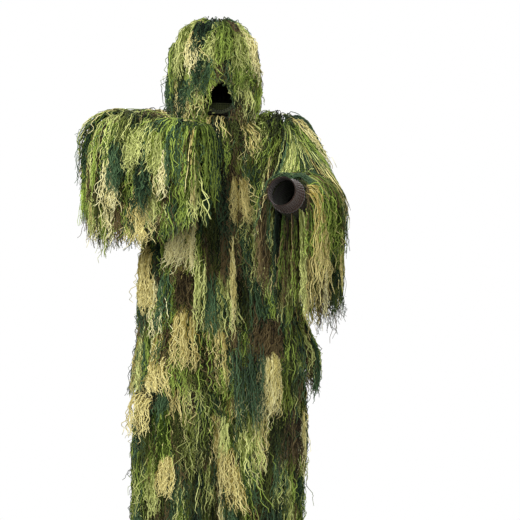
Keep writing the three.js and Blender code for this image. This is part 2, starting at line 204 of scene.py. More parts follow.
CAMERA_AT = (0.126, -4.6, -0.426)
VIEW_WIDTH = 1.56          # what the camera sees across at the plane of the wearer's neck
SENSOR = 36

camera = show("camera", bpy.data.cameras.new("camera"))
camera.data.sensor_width = SENSOR
camera.data.lens = SENSOR * -CAMERA_AT[1] / VIEW_WIDTH
camera.data.clip_end = 50
camera.location = CAMERA_AT
camera.rotation_euler = (math.radians(90), 0, 0)
bpy.context.scene.camera = camera

# ---- The wearer's shape, as the CAD has it ----------------------------------------------

SQUARENESS = 2.4           # exponent of the rounded cross sections
CLOTH = 0.003

# Sections of the cloth: height, middle across and deep, half width and half depth.
TORSO_SECTIONS = [
    (-0.004, 0.000, 0.002, 0.084, 0.082),
    (-0.024, 0.000, 0.002, 0.128, 0.092),
    (-0.056, 0.000, -0.004, 0.170, 0.108),
    (-0.124, 0.000, -0.010, 0.182, 0.120),
    (-0.230, 0.000, -0.002, 0.184, 0.128),
    (-0.460, -0.006, -0.002, 0.206, 0.128),
    (-0.600, 0.014, 0.006, 0.226, 0.136),
    (-0.700, 0.028, 0.018, 0.254, 0.148),
    (-0.848, 0.008, 0.026, 0.260, 0.160),
]
SEAT_SECTIONS = [
    (-0.455, 0.000, 0.000, 0.166, 0.104),
    (-0.580, 0.010, 0.004, 0.186, 0.114),
    (-0.700, 0.020, 0.008, 0.200, 0.118),
]
LEG_SECTIONS = {
    "right": [
        (-0.640, -0.070, 0.008, 0.076, 0.080),
        (-0.800, -0.116, 0.006, 0.096, 0.108),
        (-0.985, -0.132, 0.004, 0.098, 0.108),
        (-1.300, -0.136, 0.010, 0.094, 0.100),
        (-1.440, -0.136, 0.012, 0.090, 0.096),
    ],
    "left": [
        (-0.640, 0.110, 0.008, 0.076, 0.080),
        (-0.800, 0.138, 0.006, 0.098, 0.110),
        (-0.985, 0.130, -0.004, 0.098, 0.108),
        (-1.300, 0.124, 0.000, 0.094, 0.100),
        (-1.440, 0.122, 0.002, 0.090, 0.096),
    ],
}
HOOD_SECTIONS = [
    (0.018, 0.000, 0.001, 0.100, 0.100),
    (0.070, 0.000, -0.007, 0.110, 0.115),
    (0.150, 0.000, -0.012, 0.108, 0.123),
    (0.216, 0.000, -0.010, 0.094, 0.109),
    (0.262, 0.000, -0.005, 0.066, 0.076),
    (0.286, 0.000, 0.000, 0.026, 0.030),
]
ARM_RADII = {"right": (0.076, 0.076, 0.052), "left": (0.072, 0.068, 0.048)}
FOLD_END = {"right": 0.066, "left": 0.126}     # where the fold at each shoulder ends

JACKET_TOP = -0.004
JACKET_HEM = -0.700
HEM_TOP = -0.674
THROAT_TAB_END = -0.113
JACKET_TIERS = (-0.010, -0.170, -0.318, -0.466, -0.620, -0.848)
WAIST_TOP = -0.454
WAISTBAND_END = -0.493
SEAT_BOTTOM = -0.690
THIGH_TOP = -0.782
LEGS_PART = 0.022
KNEE = -0.985
KNEE_FOLD = 0.042
ANKLE_TOP = -1.359
TROUSER_HEM = -1.385
LEG_TIERS = (-0.848, -1.010, -1.210, -1.440)
GROUND = -1.480

FACE_CENTRE, FACE_WIDE, FACE_HIGH = 0.098, 0.056, 0.070
HOOD_STRIP = 0.046
HOOD_BAND_TOP = 0.040
HOOD_PIVOT = 0.020
HOOD_BOW = 9               # degrees
CUFF_HALF = 0.029          # from the middle of a cuff to its upper edge

DOWN = np.array([0.0, 0.0, -1.0])


def hood_matrix():
    """Where the hood is: turned about the neck's middle and bowed, as its CAD joint is."""
    nod = JOINTS["hood_nod"]
    turn = math.atan2(nod["axis"][1], nod["axis"][0])
    pivot = Matrix.Translation((0, 0, HOOD_PIVOT))
    sideways = Matrix.Translation((nod["pos_m"][0], 0, 0))
    tilt = pivot @ Matrix.Rotation(math.radians(HOOD_BOW), 4, "X") @ pivot.inverted()
    return np.array(sideways @ Matrix.Rotation(turn, 4, "Z") @ tilt)


# ---- Vectors ---------------------------------------------------------------------------


def unit(v):
    return v / np.maximum(np.linalg.norm(v, axis=-1, keepdims=True), 1e-9)


def moved(points, matrix):
    return points @ matrix[:3, :3].T + matrix[:3, 3]


def turned(directions, matrix):
    return directions @ matrix[:3, :3].T


def signed_power(value, power):
    return np.sign(value) * np.abs(value) ** power


def full_circle(count=181):
    return np.linspace(0, 2 * math.pi, count)


def ring_of(count):
    """Angles round a closed ring, the last one short of the first."""
    return full_circle(count + 1)[:-1]


def crossed(first, second):
    """Two grids, of each first value with each second value."""
    return np.meshgrid(first, second, indexing="ij")


def about(angle, first, second):
    """Directions at angles in the plane of two directions."""
    return np.cos(angle)[..., None] * first + np.sin(angle)[..., None] * second


# ---- Bodies that cloth follows and yarn lies against -------------------------------------

DEEPEST = 0.15             # points nearer a body's middle than this share are moved by no more


def push_scale(reach, between):
    """How far points inside a body, where reach is below 1, move out from its middle."""
    return np.where((reach < 1) & between, 1 / np.maximum(reach, DEEPEST), 1.0)


class Stack:
    """A body of rounded sections, one above another."""

    def __init__(self, sections, place=np.eye(4)):
        rows = np.array(sorted(sections))
        self.heights = rows[:, 0]
        self.columns = rows[:, 1:].T
        self.place = place
        self.back = np.linalg.inv(place)

    def section(self, z):
        """The middle across and deep, the half width and the half depth at a height."""
        return [np.interp(z, self.heights, column) for column in self.columns]

    def around(self, angle, z, grow=0.0):
        """Points round the body at some heights, and the outward direction at each."""
        x, y, wide, deep = self.section(z)
        across = signed_power(np.cos(angle), 2 / SQUARENESS)
        along = signed_power(np.sin(angle), 2 / SQUARENESS)
        points = [x + across * (wide + grow), y + along * (deep + grow), z + 0 * across]
        normals = [signed_power(across, SQUARENESS - 1) / wide,
                   signed_power(along, SQUARENESS - 1) / deep, 0 * across]
        return (moved(np.stack(points, -1), self.place),
                turned(unit(np.stack(normals, -1)), self.place))

    def measured(self, points, clear=0.0):
        """Points in the body's own frame, its middle at their heights, how far out they are, 1
        being clear of its surface, and whether they are between its ends."""
        local = moved(points, self.back)
        z = local[..., 2]
        x, y, wide, deep = self.section(z)
        reach = (np.abs((local[..., 0] - x) / (wide + clear)) ** SQUARENESS
                 + np.abs((local[..., 1] - y) / (deep + clear)) ** SQUARENESS) ** (1 / SQUARENESS)
        return local, (x, y), reach, (z > self.heights[0]) & (z < self.heights[-1])

    def holds(self, points, tighter=1.0):
        """Whether points are inside the body, or inside a smaller one."""
        *_, reach, between = self.measured(points)
        return between & (reach * tighter < 1)

    def push(self, points, clear):
        """Points inside the body, or nearer to it than clear, are moved sideways out of it."""
        local, middle, reach, between = self.measured(points, clear)
        scale = push_scale(reach, between)
        for i in (0, 1):
            local[..., i] = middle[i] + (local[..., i] - middle[i]) * scale
        return moved(local, self.place)


class Dome:
    """The round top of the hood."""

    def __init__(self, centre, half, place):
        self.centre, self.half = np.array(centre), np.array(half)
        self.place = place
        self.back = np.linalg.inv(place)

    def push(self, points, clear):
        local = moved(points, self.back) - self.centre
        reach = np.linalg.norm(local / (self.half + np.asarray(clear)[..., None]), axis=-1)
        scale = push_scale(reach, local[..., 2] > 0)
        return moved(local * scale[..., None] + self.centre, self.place)


class Limb:
    """A round limb from one point to another."""

    def __init__(self, start, end, start_radius, end_radius):
        self.start, self.end = np.array(start, float), np.array(end, float)
        self.radii = (start_radius, end_radius)
        self.length = float(np.linalg.norm(self.end - self.start))
        self.axis = (self.end - self.start) / self.length
        self.up = unit(np.array([0, 0, 1.0]) - self.axis * self.axis[2])
        self.side = np.cross(self.axis, self.up)

    def radius(self, along):
        return np.interp(along, [0, self.length], self.radii)

    def around(self, angle, along, grow=0.0):
        """Points round the limb, from its top, and the outward direction at each."""
        out = about(angle, self.up, self.side)
        middle = self.start + np.asarray(along)[..., None] * self.axis
        return middle + out * (self.radius(along) + grow)[..., None], out

    def push(self, points, clear):
        along = np.clip((points - self.start) @ self.axis, 0, self.length)
        middle = self.start + along[..., None] * self.axis
        offset = points - middle
        distance = np.linalg.norm(offset, axis=-1)
        wanted = self.radius(along) + clear
        scale = np.where(distance < wanted, wanted / np.maximum(distance, 1e-4), 1.0)
        return middle + offset * scale[..., None]


def arm_of(side, radii):
    """An arm's two limbs, from the joints and from the upper edge of its cuff."""
    shoulder, elbow = (np.array(JOINTS[f"{joint}_{side}"]["pos_m"])
                       for joint in ("shoulder", "elbow"))
    low, high = (np.array(corner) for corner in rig.box(f"cuff_{side}"))
    wrist = (low + high) / 2 - unit((low + high) / 2 - elbow) * CUFF_HALF
    return Limb(shoulder, elbow, *radii[:2]), Limb(elbow, wrist, *radii[1:])


HOOD_PLACE = hood_matrix()
torso = Stack(TORSO_SECTIONS)
seat = Stack(SEAT_SECTIONS)
legs = {side: Stack(sections) for side, sections in LEG_SECTIONS.items()}
hood = Stack(HOOD_SECTIONS, HOOD_PLACE)
dome = Dome((0, -0.010, 0.150), (0.108, 0.121, 0.140), HOOD_PLACE)
arms = {side: arm_of(side, radii) for side, radii in ARM_RADII.items()}
ALL_LIMBS = [limb for pair in arms.values() for limb in pair]

# ---- Materials -------------------------------------------------------------------------


def linear(*colour):
    """A colour given as it looks on a screen, 0 to 255, as the light it stands for."""
    shares = [c / 255 for c in colour]
    return (*[c / 12.92 if c <= 0.04045 else ((c + 0.055) / 1.055) ** 2.4 for c in shares], 1.0)


class Look:
    """A new material and short ways to add its nodes."""

    def __init__(self, name, roughness, metallic=0.0, sheen=0.0):
        self.material = bpy.data.materials.new(name)
        self.material.use_nodes = True
        self.tree = self.material.node_tree
        self.shader = self.tree.nodes["Principled BSDF"].inputs
        self.shader["Roughness"].default_value = roughness
        self.shader["Metallic"].default_value = metallic
        self.shader["Sheen Weight"].default_value = sheen
        self.shader["Specular IOR Level"].default_value = 0.1

    def feed(self, target, value):
        """Gives an input a value, or the output of another node."""
        if isinstance(value, bpy.types.NodeSocket):
            self.tree.links.new(value, target)
        else:
            target.default_value = value

    def node(self, kind, output, *values, **settings):
        """One output of a new node, given its first inputs in order and the others by name."""
        made = self.tree.nodes.new("ShaderNode" + kind)
        for key, value in settings.items():
            if key in made.inputs:
                self.feed(made.inputs[key], value)
            else:
                setattr(made, key, value)
        for target, value in zip(made.inputs, values):
            self.feed(target, value)
        return made.outputs[output]

    def noise(self, scale, detail, **settings):
        """Noise that stays in its place on the object."""
        place = self.node("TexCoord", "Object")
        return self.node("TexNoise", "Fac", Vector=place, Scale=scale, Detail=detail, **settings)

    def mix(self, factor, dark, light):
        """A colour between two, by a factor."""
        mixed = self.tree.nodes.new("ShaderNodeMix")
        mixed.data_type = "RGBA"
        for index, value in ((0, factor), (6, dark), (7, light)):
            value = linear(*value) if isinstance(value, tuple) else value
            self.feed(mixed.inputs[index], value)
        return mixed.outputs[2]

    def finished(self, colour, height=None, distance=0.0006):
        """The material with its colour, and with bumps of a height pattern."""
        self.feed(self.shader["Base Color"], colour)
        if height:
            bump = self.node("Bump", "Normal", Height=height, Distance=distance, Strength=1.0)
            self.feed(self.shader["Normal"], bump)
        return self.material


def yarn_material(name, dark, light):
    """Loose acrylic yarn: each strand has a tone of its own, darker at its root as painted shade, with fibres mottled
    along it.
    """
    m = Look(name, 0.95, sheen=0.05)
    tone = m.node("Attribute", "Fac", attribute_name="tone")
    spread = m.node("Math", "Value", m.noise(170.0, 2.0), 0.6, -0.3, operation="MULTIPLY_ADD")
    factor = m.node("Math", "Value", tone, spread, operation="ADD", use_clamp=True)
    return m.finished(m.mix(factor, dark, light))


def weave_material(name, dark, light, threads, depth=0.0006, patches=None):
    """Woven cloth: threads per metre both ways, with painted shade darkening the hollows between them."""
    m = Look(name, 0.92, sheen=0.15)
    uv = m.node("UVMap", "UV", uv_map="weave")
    waves = [m.node("TexWave", "Fac", Vector=uv, Scale=threads / 20.0, bands_direction=way)
             for way in "XY"]
    crossing = m.node("Math", "Value", *waves, operation="MAXIMUM")
    ground = m.mix(m.noise(26.0, 4.0), dark, light)
    if patches:
        blot = m.noise(9.0, 1.5, Distortion=0.8)
        ground = m.mix(m.node("MapRange", "Result", blot, 0.52, 0.56), ground, patches)
    # Painted shade: the hollows between the threads are darkened to under half the dark tone.
    shade = m.mix(crossing, tuple(c * 0.45 for c in dark), ground)
    return m.finished(shade, crossing, depth)


def rib_material():
    """Ribbed knit: fine stitches along ribs that are in the mesh itself."""
    m = Look("rib_knit", 0.95, sheen=0.3)
    uv = m.node("UVMap", "UV", uv_map="weave")
    stitch = m.node("TexWave", "Fac", Vector=uv, Scale=32.0, bands_direction="Y", Distortion=1.5)
    shade = m.mix(m.noise(420.0, 3.0), (46, 28, 20), (98, 68, 50))
    # Painted shade: the grooves between the stitches are darkened.
    return m.finished(m.mix(stitch, (32, 20, 15), shade), stitch)


def metal_material():
    """Blackened brass, rubbed bright where it is handled."""
    m = Look("zip_brass", 0.42, metallic=0.9)
    rubbed = m.node("MapRange", "Result", m.noise(260.0, 3.0), 0.45, 0.75)
    return m.finished(m.mix(rubbed, (52, 47, 38), (122, 104, 70)))


# The yarn's colours: the name, the tones that a strand runs between, and its share.
YARNS = [
    ("fern", (46, 64, 12), (172, 194, 90), 0.23),
    ("olive", (106, 118, 44), (232, 237, 152), 0.17),
    ("teal", (10, 26, 14), (84, 112, 76), 0.18),
    ("moss", (16, 24, 2), (86, 96, 42), 0.15),
    ("brown", (26, 20, 6), (120, 104, 68), 0.13),
    ("tan", (154, 138, 68), (252, 240, 166), 0.09),
    ("cream", (196, 184, 112), (255, 249, 190), 0.05),
]
COLOUR = {name: index for index, (name, *_) in enumerate(YARNS)}
YARN_MATERIALS = [yarn_material(f"yarn_{name}", dark, light) for name, dark, light, _ in YARNS]
SHARES = np.array([share for *_, share in YARNS])
LIGHT_SHARES = np.array([0.28, 0.20, 0.27, 0.07, 0.05, 0.09, 0.04])
SLEEVE_SHARES = np.array([0.25, 0.15, 0.32, 0.10, 0.06, 0.09, 0.03])
# Darker colours as painted shade: for rows that hang under other yarn, and for the front in the left arm's shadow.
PAINTED_SHADE_SHARES = np.array([0.18, 0.07, 0.28, 0.22, 0.20, 0.04, 0.01])

cloth_look = weave_material("cloth_weave", (46, 52, 30), (78, 84, 50), 900, patches=(58, 48, 34))
lining_look = weave_material("hood_weave", (30, 34, 22), (52, 56, 36), 900)
elastic_look = weave_material("elastic_weave", (44, 48, 34), (72, 76, 54), 600, 0.001)
tape_look = weave_material("tape_weave", (30, 34, 24), (58, 62, 44), 1400)
rib_look = rib_material()
metal_look = metal_material()

# ---- Yarn ------------------------------------------------------------------------------

SEGMENTS = 18              # straight bits of one strand
SIDES = 3                  # sides of one strand
STRAND_RADIUS = 0.0014
MOST_STRANDS = 1750        # strands in one mesh
SPILL = 0.026              # how far strands may stand out of the CAD's box
CROWD = 1.2                # how many strands there are to the rows' own numbers
LOCK_STRANDS = 7
STRAYS = 0.06              # share of strands that stand off by themselves
CRIMP_ACROSS, CRIMP_OUT = 0.0046, 0.0030
GROUND_GAP = 0.008
ROOT_CLEAR, TIP_CLEAR = 0.002, 0.006           # how far strands lie off what they meet
STIFF, FALLING = 0.55, 0.45                    # shares of a strand's heading and of its weight
SUNK = 0.004                                   # strands rooted deeper than this aren't made
# The window left open in front of the face: its middle across and up, its half width and height.
FACE_WINDOW = (-0.010, 0.062, 0.032, 0.052)
IN_FRONT = -0.050          # strands in front of this plane of the hood can hang over it

# Strands by the piece that they belong to, as arrays with one entry to a strand: roots, across,
# heading, sway, length, colour, tone, lift, kink and lock.
beds = {}


def pick_colour(shares, last):
    """A colour by its share, other than the last one."""
    shares = shares.copy()
    if last >= 0:
        shares[last] = 0
    return int(rng.choice(len(shares), p=shares / shares.sum()))


def sew_tassel(piece_of, seam, count, length, colour, lift=0.0, kink=1.0, slope=0.0, lean=0.06):
    """One tassel of one colour, its strands in a few locks rooted along a short seam."""
    line, outward = seam
    last = len(line) - 1
    width = float(np.linalg.norm(line[-1] - line[0]))
    locks = max(2, count // LOCK_STRANDS)
    lock = rng.integers(0, locks, count)
    place = np.clip((lock + 0.5 + rng.normal(0, 0.42, count)) / locks, 0, 0.999) * last
    low = np.minimum(place.astype(int), last - 1)
    part = (place - low)[:, None]
    roots = line[low] * (1 - part) + line[low + 1] * part
    normals = unit(outward[low] * (1 - part) + outward[low + 1] * part)
    across = np.broadcast_to(unit(line[-1] - line[0]), roots.shape)
    fall = unit(DOWN - normals * np.minimum(normals @ DOWN, 0)[:, None] + slope)
    stray = rng.random(count) < STRAYS
    fan = (place / last - 0.5) * rng.uniform(0.0, 0.3)
    aside = rng.normal(0, lean) + fan
    aside = aside + rng.normal(0, 0.05, locks)[lock] + rng.normal(0, 0.035, count)
    aside = (aside + stray * np.clip(rng.normal(0, 0.3, count), -0.5, 0.5))[:, None]
    roots = roots + fall * rng.normal(0, 0.003 + 0.14 * width, count)[:, None]
    heading = unit(fall + across * aside + normals * rng.uniform(0.1, 0.4, count)[:, None])
    sway = across * [1, 1, 0] * aside
    length = length * rng.uniform(0.88, 1.10)
    length = length * rng.uniform(0.86, 1.04, locks)[lock] * rng.uniform(0.78, 1.05, count)
    tone = 0.46 + rng.normal(0, 0.14) + rng.normal(0, 0.18, locks)[lock]
    tone = tone + rng.normal(0, 0.28, count)
    bulge = np.sqrt(np.clip(1 - (2 * place / last - 1) ** 2, 0, 1)) * rng.uniform(0.1, 1.0, count)
    lifts = lift + bulge * (0.010 + 0.08 * width) + stray * 0.004
    kinks = kink * rng.uniform(0.6, 1.4, count) * np.where(stray, 1.8, 1.0)
    lock = lock + rng.integers(0, 2 ** 30)
    names = piece_of(roots)
    colours = np.full(count, colour)
    columns = (roots, across, heading, sway, length, colours, tone, lifts, kinks, lock)
    for name in sorted(set(names)):
        beds.setdefault(name, []).append([column[names == name] for column in columns])


def sew_row(piece_of, seam, length, per_metre, shares, tassel=(0.026, 0.050), **options):
    """Tassels side by side along a seam: its points, and the outward direction at each."""
    run = np.concatenate([[0], np.cumsum(np.linalg.norm(np.diff(seam[0], axis=0), axis=1))])
    start, last = 0.0, -1
    while start < run[-1] - 0.008:
        width = min(rng.uniform(*tassel), run[-1] - start)
        at = np.linspace(start, start + width, 6)
        line, outward = (np.stack([np.interp(at, run, along[:, i]) for i in range(3)], -1)
                         for along in seam)
        last = pick_colour(shares, last)
        count = max(5, int(width * per_metre * CROWD))
        sew_tassel(piece_of, (line, unit(outward)), count, length, last, **options)
        start += width


def always(name):
    return lambda roots: np.full(len(roots), name)


def in_tiers(names, marks):
    """A piece for each root by its height, between falling marks."""
    edges = np.array(marks[1:-1])
    return lambda roots: np.array(names)[(roots[:, 2][:, None] < edges[None, :]).sum(axis=1)]


def rings_of(body, over, under, shares):
    """Rows round a body, dense ones of some colours over sparse ones in darker colours, painted
    shade under them: the seam, height, length, strands to a metre, colours and lift of each."""
    kinds = [(over, 800, 0.004, shares), (under, 480, 0.0, PAINTED_SHADE_SHARES)]
    for rows, per_metre, lift, mixed in kinds:
        for z, length in rows:
            yield body.around(full_circle(), z, CLOTH / 2), z, length, per_metre, mixed, lift


def part_of(seam, chosen):
    return [along[chosen] for along in seam]


SHADED_FROM = -0.040       # the jacket's front takes darker yarn from here on, painted shade under the left arm
SHOULDERS_END = -0.120
SHOULDER_BULK = 0.016


def sew_jacket():
    choose = in_tiers([f"yarn_jacket_tier_{i}" for i in range(1, 6)], JACKET_TIERS)
    over = [(-0.012, 0.16), (-0.030, 0.20), (-0.150, 0.20), (-0.200, 0.20), (-0.325, 0.20),
            (-0.465, 0.20), (-0.612, 0.20), (-0.655, 0.18)]
    under = [(-0.062, 0.19), (-0.110, 0.20), (-0.260, 0.19), (-0.395, 0.19), (-0.540, 0.19)]
    for seam, z, length, per_metre, shares, lift in rings_of(torso, over, under, SHARES):
        # Painted shade: the front under the left arm gets the darker colours.
        dark = (seam[0][:, 1] < 0) & (seam[0][:, 0] > SHADED_FROM)
        bulk = lift + (SHOULDER_BULK if z > SHOULDERS_END else 0.0)
        sew_row(choose, part_of(seam, ~dark), length, per_metre, shares, lift=bulk)
        sew_row(choose, part_of(seam, dark), length, per_metre, PAINTED_SHADE_SHARES, lift=lift)


THIGHS_END = -0.950
THIGH_BULK = 0.006
INNER_HALF = 0.085         # how far from between the legs the extra inner yarn reaches
INNER_SLOPE = 0.55         # how far it slopes to close the gap between them
INNER_LIFT = 0.012
INNER_STRANDS = 500        # to a metre


def sew_legs():
    over = [(-0.725, 0.20), (-0.860, 0.20), (-0.985, 0.20), (-1.110, 0.20), (-1.225, 0.205)]
    under = [(-0.790, 0.19), (-0.925, 0.19), (-1.050, 0.19), (-1.170, 0.19)]
    for side, leg in legs.items():
        choose = in_tiers([f"yarn_{part}_{side}" for part in ("thigh", "knee", "shin")], LEG_TIERS)
        inward = np.array([INNER_SLOPE if side == "right" else -INNER_SLOPE, 0, 0])
        # The legs' rows take colours halfway between the usual ones and the darker painted-shade ones.
        rings = rings_of(leg, over, under, (SHARES + PAINTED_SHADE_SHARES) / 2)
        for seam, z, length, per_metre, shares, lift in rings:
            bulk = lift + (THIGH_BULK if z > THIGHS_END else 0.0)
            sew_row(choose, seam, length, per_metre, shares, lift=bulk)
            inner = np.abs(seam[0][:, 0] - LEGS_PART) < INNER_HALF
            for half in (seam[0][:, 1] < 0, seam[0][:, 1] >= 0):
                sew_row(choose, part_of(seam, inner & half), length, INNER_STRANDS, shares,
                        slope=inward, lift=INNER_LIFT)


# Rows along a sleeve: the turn round it from its top, the length, strands to a metre, the
# colours (the darker ones painted shade on its sides and underside), the lift, and how far the tassels splay.
SLEEVE_ROWS = [
    (0.06, 0.240, 1150, SLEEVE_SHARES, 0.010, 0.5),
    (0.50, 0.150, 300, PAINTED_SHADE_SHARES, 0.0, 0.5),
    (0.95, 0.170, 300, PAINTED_SHADE_SHARES, 0.0, 0.5),
    (1.40, 0.150, 300, PAINTED_SHADE_SHARES, 0.0, 0.5),
    (1.85, 0.150, 350, PAINTED_SHADE_SHARES, 0.0, 0.0),
    (2.40, 0.205, 900, SHARES, 0.0, 0.0),
    (2.90, 0.190, 450, PAINTED_SHADE_SHARES, 0.0, 0.0),
]
UNDERSIDE = 2.0            # the turn past which rows are under a sleeve
LONGER = {"right": 1.10, "left": 1.3}          # how much longer the yarn there is
CUFF_COVER = {"right": 0.056, "left": 0.0}     # how far the yarn goes on over the cuff
CHEST_SIDE = 0.7           # how much of the yarn is left between a forearm and the chest
ARM_BULK = 0.010           # how much further the yarn of an upper arm is lifted
ELBOW_REACH = 0.105        # how far round an elbow's middle its own yarn is rooted
FOREARM_FROM = 0.030       # how far past that middle the forearm's yarn starts
# The rows round a shoulder, behind where its arm starts, by how far they turn from the arm's axis.
SHOULDER_TILTS = (0.35, 0.75, 1.15, 1.5)


def sew_sleeves():
    for side, (upper, fore) in arms.items():
        elbow = upper.end

        def choose(roots, side=side, fore=fore, elbow=elbow):
            near = np.linalg.norm(roots - elbow, axis=1) < ELBOW_REACH
            on_fore = (roots - elbow) @ fore.axis > FOREARM_FROM
            names = np.where(on_fore, f"yarn_forearm_{side}", f"yarn_sleeve_upper_{side}")
            return np.where(near & ~on_fore, f"yarn_elbow_{side}", names)

        limbs = [(upper, upper.length, ARM_BULK), (fore, fore.length + CUFF_COVER[side], 0.0)]
        for limb, end, bulk in limbs:
            along = np.linspace(0, end, 30)
            for sign in (-1, 1):
                for turn, length, per_metre, shares, lift, splay in SLEEVE_ROWS:
                    seam = limb.around(np.full_like(along, turn * sign), along, CLOTH / 2)
                    if turn > UNDERSIDE:
                        length = length * LONGER[side]
                    if limb is fore and seam[1][0, 1] > 0.3:
                        length, per_metre = length * CHEST_SIDE, per_metre * CHEST_SIDE
                    sew_row(choose, seam, length, per_metre, shares, tassel=(0.018, 0.034),
                            slope=limb.side * splay * sign, lift=lift + bulk)

        angle = full_circle(91)
        ring, _ = upper.around(angle, 0 * angle)
        for tilt in SHOULDER_TILTS:
            outward = unit((ring - upper.start) * math.sin(tilt)
                           - upper.axis * upper.radii[0] * math.cos(tilt))
            line = upper.start + outward * upper.radii[0]
            sew_row(choose, (line, outward), 0.21, 520, SHARES, lift=0.026)

        # The round of the elbow, between the two straight limbs.
        hinge = unit(np.cross(upper.axis, fore.axis))
        first, last = np.cross(hinge, upper.axis), np.cross(hinge, fore.axis)
        if first @ unit(upper.axis - fore.axis) < 0:
            first, last = -first, -last
        for share in np.linspace(0.1, 0.9, 5):
            middle = unit(first * (1 - share) + last * share)
            outward = about(np.linspace(-1.3, 1.3, 20), middle, hinge)
            line = elbow + outward * upper.radii[1]
            sew_row(choose, (line, outward), 0.20 * LONGER[side], 600, SLEEVE_SHARES, lift=-0.004)

        # Tassels along the edge of the right sleeve hang over its cuff.
        if side == "right":
            angle = np.linspace(-1.5, 1.5, 40)
            seam = fore.around(angle, np.full_like(angle, fore.length + 0.052), 0.004)
            sew_row(choose, seam, 0.20, 900, SLEEVE_SHARES, slope=fore.axis * 0.25, lift=0.004)


def sew_hood():
    crown, mantle = always("yarn_hood_crown"), always("yarn_hood_mantle")
    over = [(0.272, 0.190, 2000, crown), (0.205, 0.175, 1100, crown), (0.140, 0.135, 900, mantle)]
    under = [(0.284, 0.10, 900, crown), (0.245, 0.13, 500, crown), (0.175, 0.13, 450, crown),
             (0.100, 0.11, 500, mantle), (0.062, 0.08, 500, mantle), (0.034, 0.055, 500, mantle)]
    for rows, lift, shares in ((over, 0.006, LIGHT_SHARES), (under, 0.0, SHARES)):
        for z, length, per_metre, choose in rows:
            sew_row(choose, hood.around(full_circle(), z, CLOTH / 2), length, per_metre, shares,
                    tassel=(0.016, 0.032), kink=0.8, lift=lift)


# Single tassels that stand out on the front of the suit: where each starts, seen from the front
# (across and height at the neck's plane), its width, its length and its colour.
STANDOUTS = [
    (-0.092, 0.262, 0.034, 0.17, "olive"), (-0.062, 0.246, 0.022, 0.17, "cream"),
    (-0.040, 0.270, 0.026, 0.17, "teal"), (-0.018, 0.240, 0.024, 0.12, "olive"),
    (-0.120, 0.205, 0.030, 0.17, "fern"), (-0.075, 0.110, 0.024, 0.10, "teal"),
    (0.072, 0.175, 0.028, 0.10, "fern"), (0.046, 0.240, 0.030, 0.14, "olive"),
    (-0.128, 0.150, 0.028, 0.15, "teal"), (-0.030, 0.190, 0.028, 0.13, "teal"),
    (0.014, 0.262, 0.030, 0.15, "fern"), (0.080, 0.235, 0.026, 0.14, "cream"),
    (-0.292, -0.075, 0.030, 0.17, "teal"), (-0.214, -0.105, 0.030, 0.17, "teal"),
    (-0.122, -0.070, 0.034, 0.14, "teal"), (-0.345, -0.150, 0.030, 0.13, "moss"),
    (-0.362, -0.055, 0.036, 0.15, "tan"), (-0.318, -0.120, 0.038, 0.15, "cream"),
    (-0.148, -0.095, 0.018, 0.15, "cream"), (-0.198, -0.195, 0.034, 0.12, "cream"),
    (-0.258, -0.190, 0.036, 0.19, "tan"), (-0.066, -0.028, 0.040, 0.16, "olive"),
    (-0.172, -0.055, 0.036, 0.13, "olive"), (-0.236, -0.050, 0.040, 0.13, "olive"),
    (-0.092, -0.315, 0.074, 0.15, "cream"), (-0.192, -0.400, 0.032, 0.17, "tan"),
    (0.052, -0.185, 0.036, 0.15, "tan"), (0.126, -0.285, 0.034, 0.12, "cream"),
    (-0.030, -0.450, 0.054, 0.14, "olive"), (0.012, -0.435, 0.056, 0.19, "cream"),
    (-0.192, -0.500, 0.040, 0.10, "tan"), (-0.084, -0.575, 0.042, 0.21, "tan"),
    (0.284, -0.450, 0.040, 0.18, "tan"), (-0.160, -0.740, 0.040, 0.12, "tan"),
    (-0.002, -0.745, 0.048, 0.15, "tan"), (-0.212, -0.850, 0.056, 0.16, "tan"),
    (0.138, -0.715, 0.054, 0.20, "cream"), (-0.030, -0.880, 0.036, 0.17, "tan"),
    (0.028, -0.905, 0.050, 0.13, "olive"), (-0.152, -1.020, 0.036, 0.14, "tan"),
    (0.040, -1.005, 0.044, 0.16, "tan"), (0.065, -0.740, 0.100, 0.16, "teal"),
    (0.134, -0.615, 0.070, 0.15, "brown"), (0.057, -1.040, 0.034, 0.17, "tan"),
    (-0.082, -0.470, 0.034, 0.15, "brown"), (0.300, -0.250, 0.070, 0.17, "fern"),
    (0.175, -0.250, 0.054, 0.25, "brown"), (0.226, -0.250, 0.042, 0.26, "teal"),
    (0.262, -0.215, 0.028, 0.31, "tan"),
]
STANDOUT_STRANDS = 1600    # to a metre of width
STANDOUT_DEPTH = 0.010     # how far behind the CAD's surface they are sewn


def front_surface():
    """Where a sight line from the camera through a point of the neck's plane meets the CAD."""
    trees = {}
    for name, node in NODES.items():
        if name.startswith("yarn_"):
            points = [v.co.copy() for v in node.data.vertices]
            faces = [tuple(p.vertices) for p in node.data.polygons]
            trees[name] = BVHTree.FromPolygons(points, faces)

    def look(x, z):
        start = Vector(CAMERA_AT)
        sight = (Vector((x, 0, z)) - start).normalized()
        hits = [(tree.ray_cast(start, sight), name) for name, tree in trees.items()]
        hits = [(hit[3], hit[0], hit[1], name) for hit, name in hits if hit[0] is not None]
        return min(hits, key=lambda hit: hit[0]) if hits else None
    return look


def sew_standouts():
    look = front_surface()
    for x, z, width, length, colour in STANDOUTS:
        hits = [look(x + width * share, z) for share in (-0.5, -0.25, 0, 0.25, 0.5)]
        hits = [hit for hit in hits if hit]
        hits = [hit for hit in hits if hit[3] == hits[len(hits) // 2][3]]
        if len(hits) < 2:
            continue
        line, outward = (np.array([hit[i][:] for hit in hits]) for i in (1, 2))
        line = line + unit(line - CAMERA_AT) * STANDOUT_DEPTH
        sew_tassel(always(hits[0][3]), (line, outward), int(width * STANDOUT_STRANDS), length,
                   COLOUR[colour], lift=0.019, kink=1.1, lean=0.10)


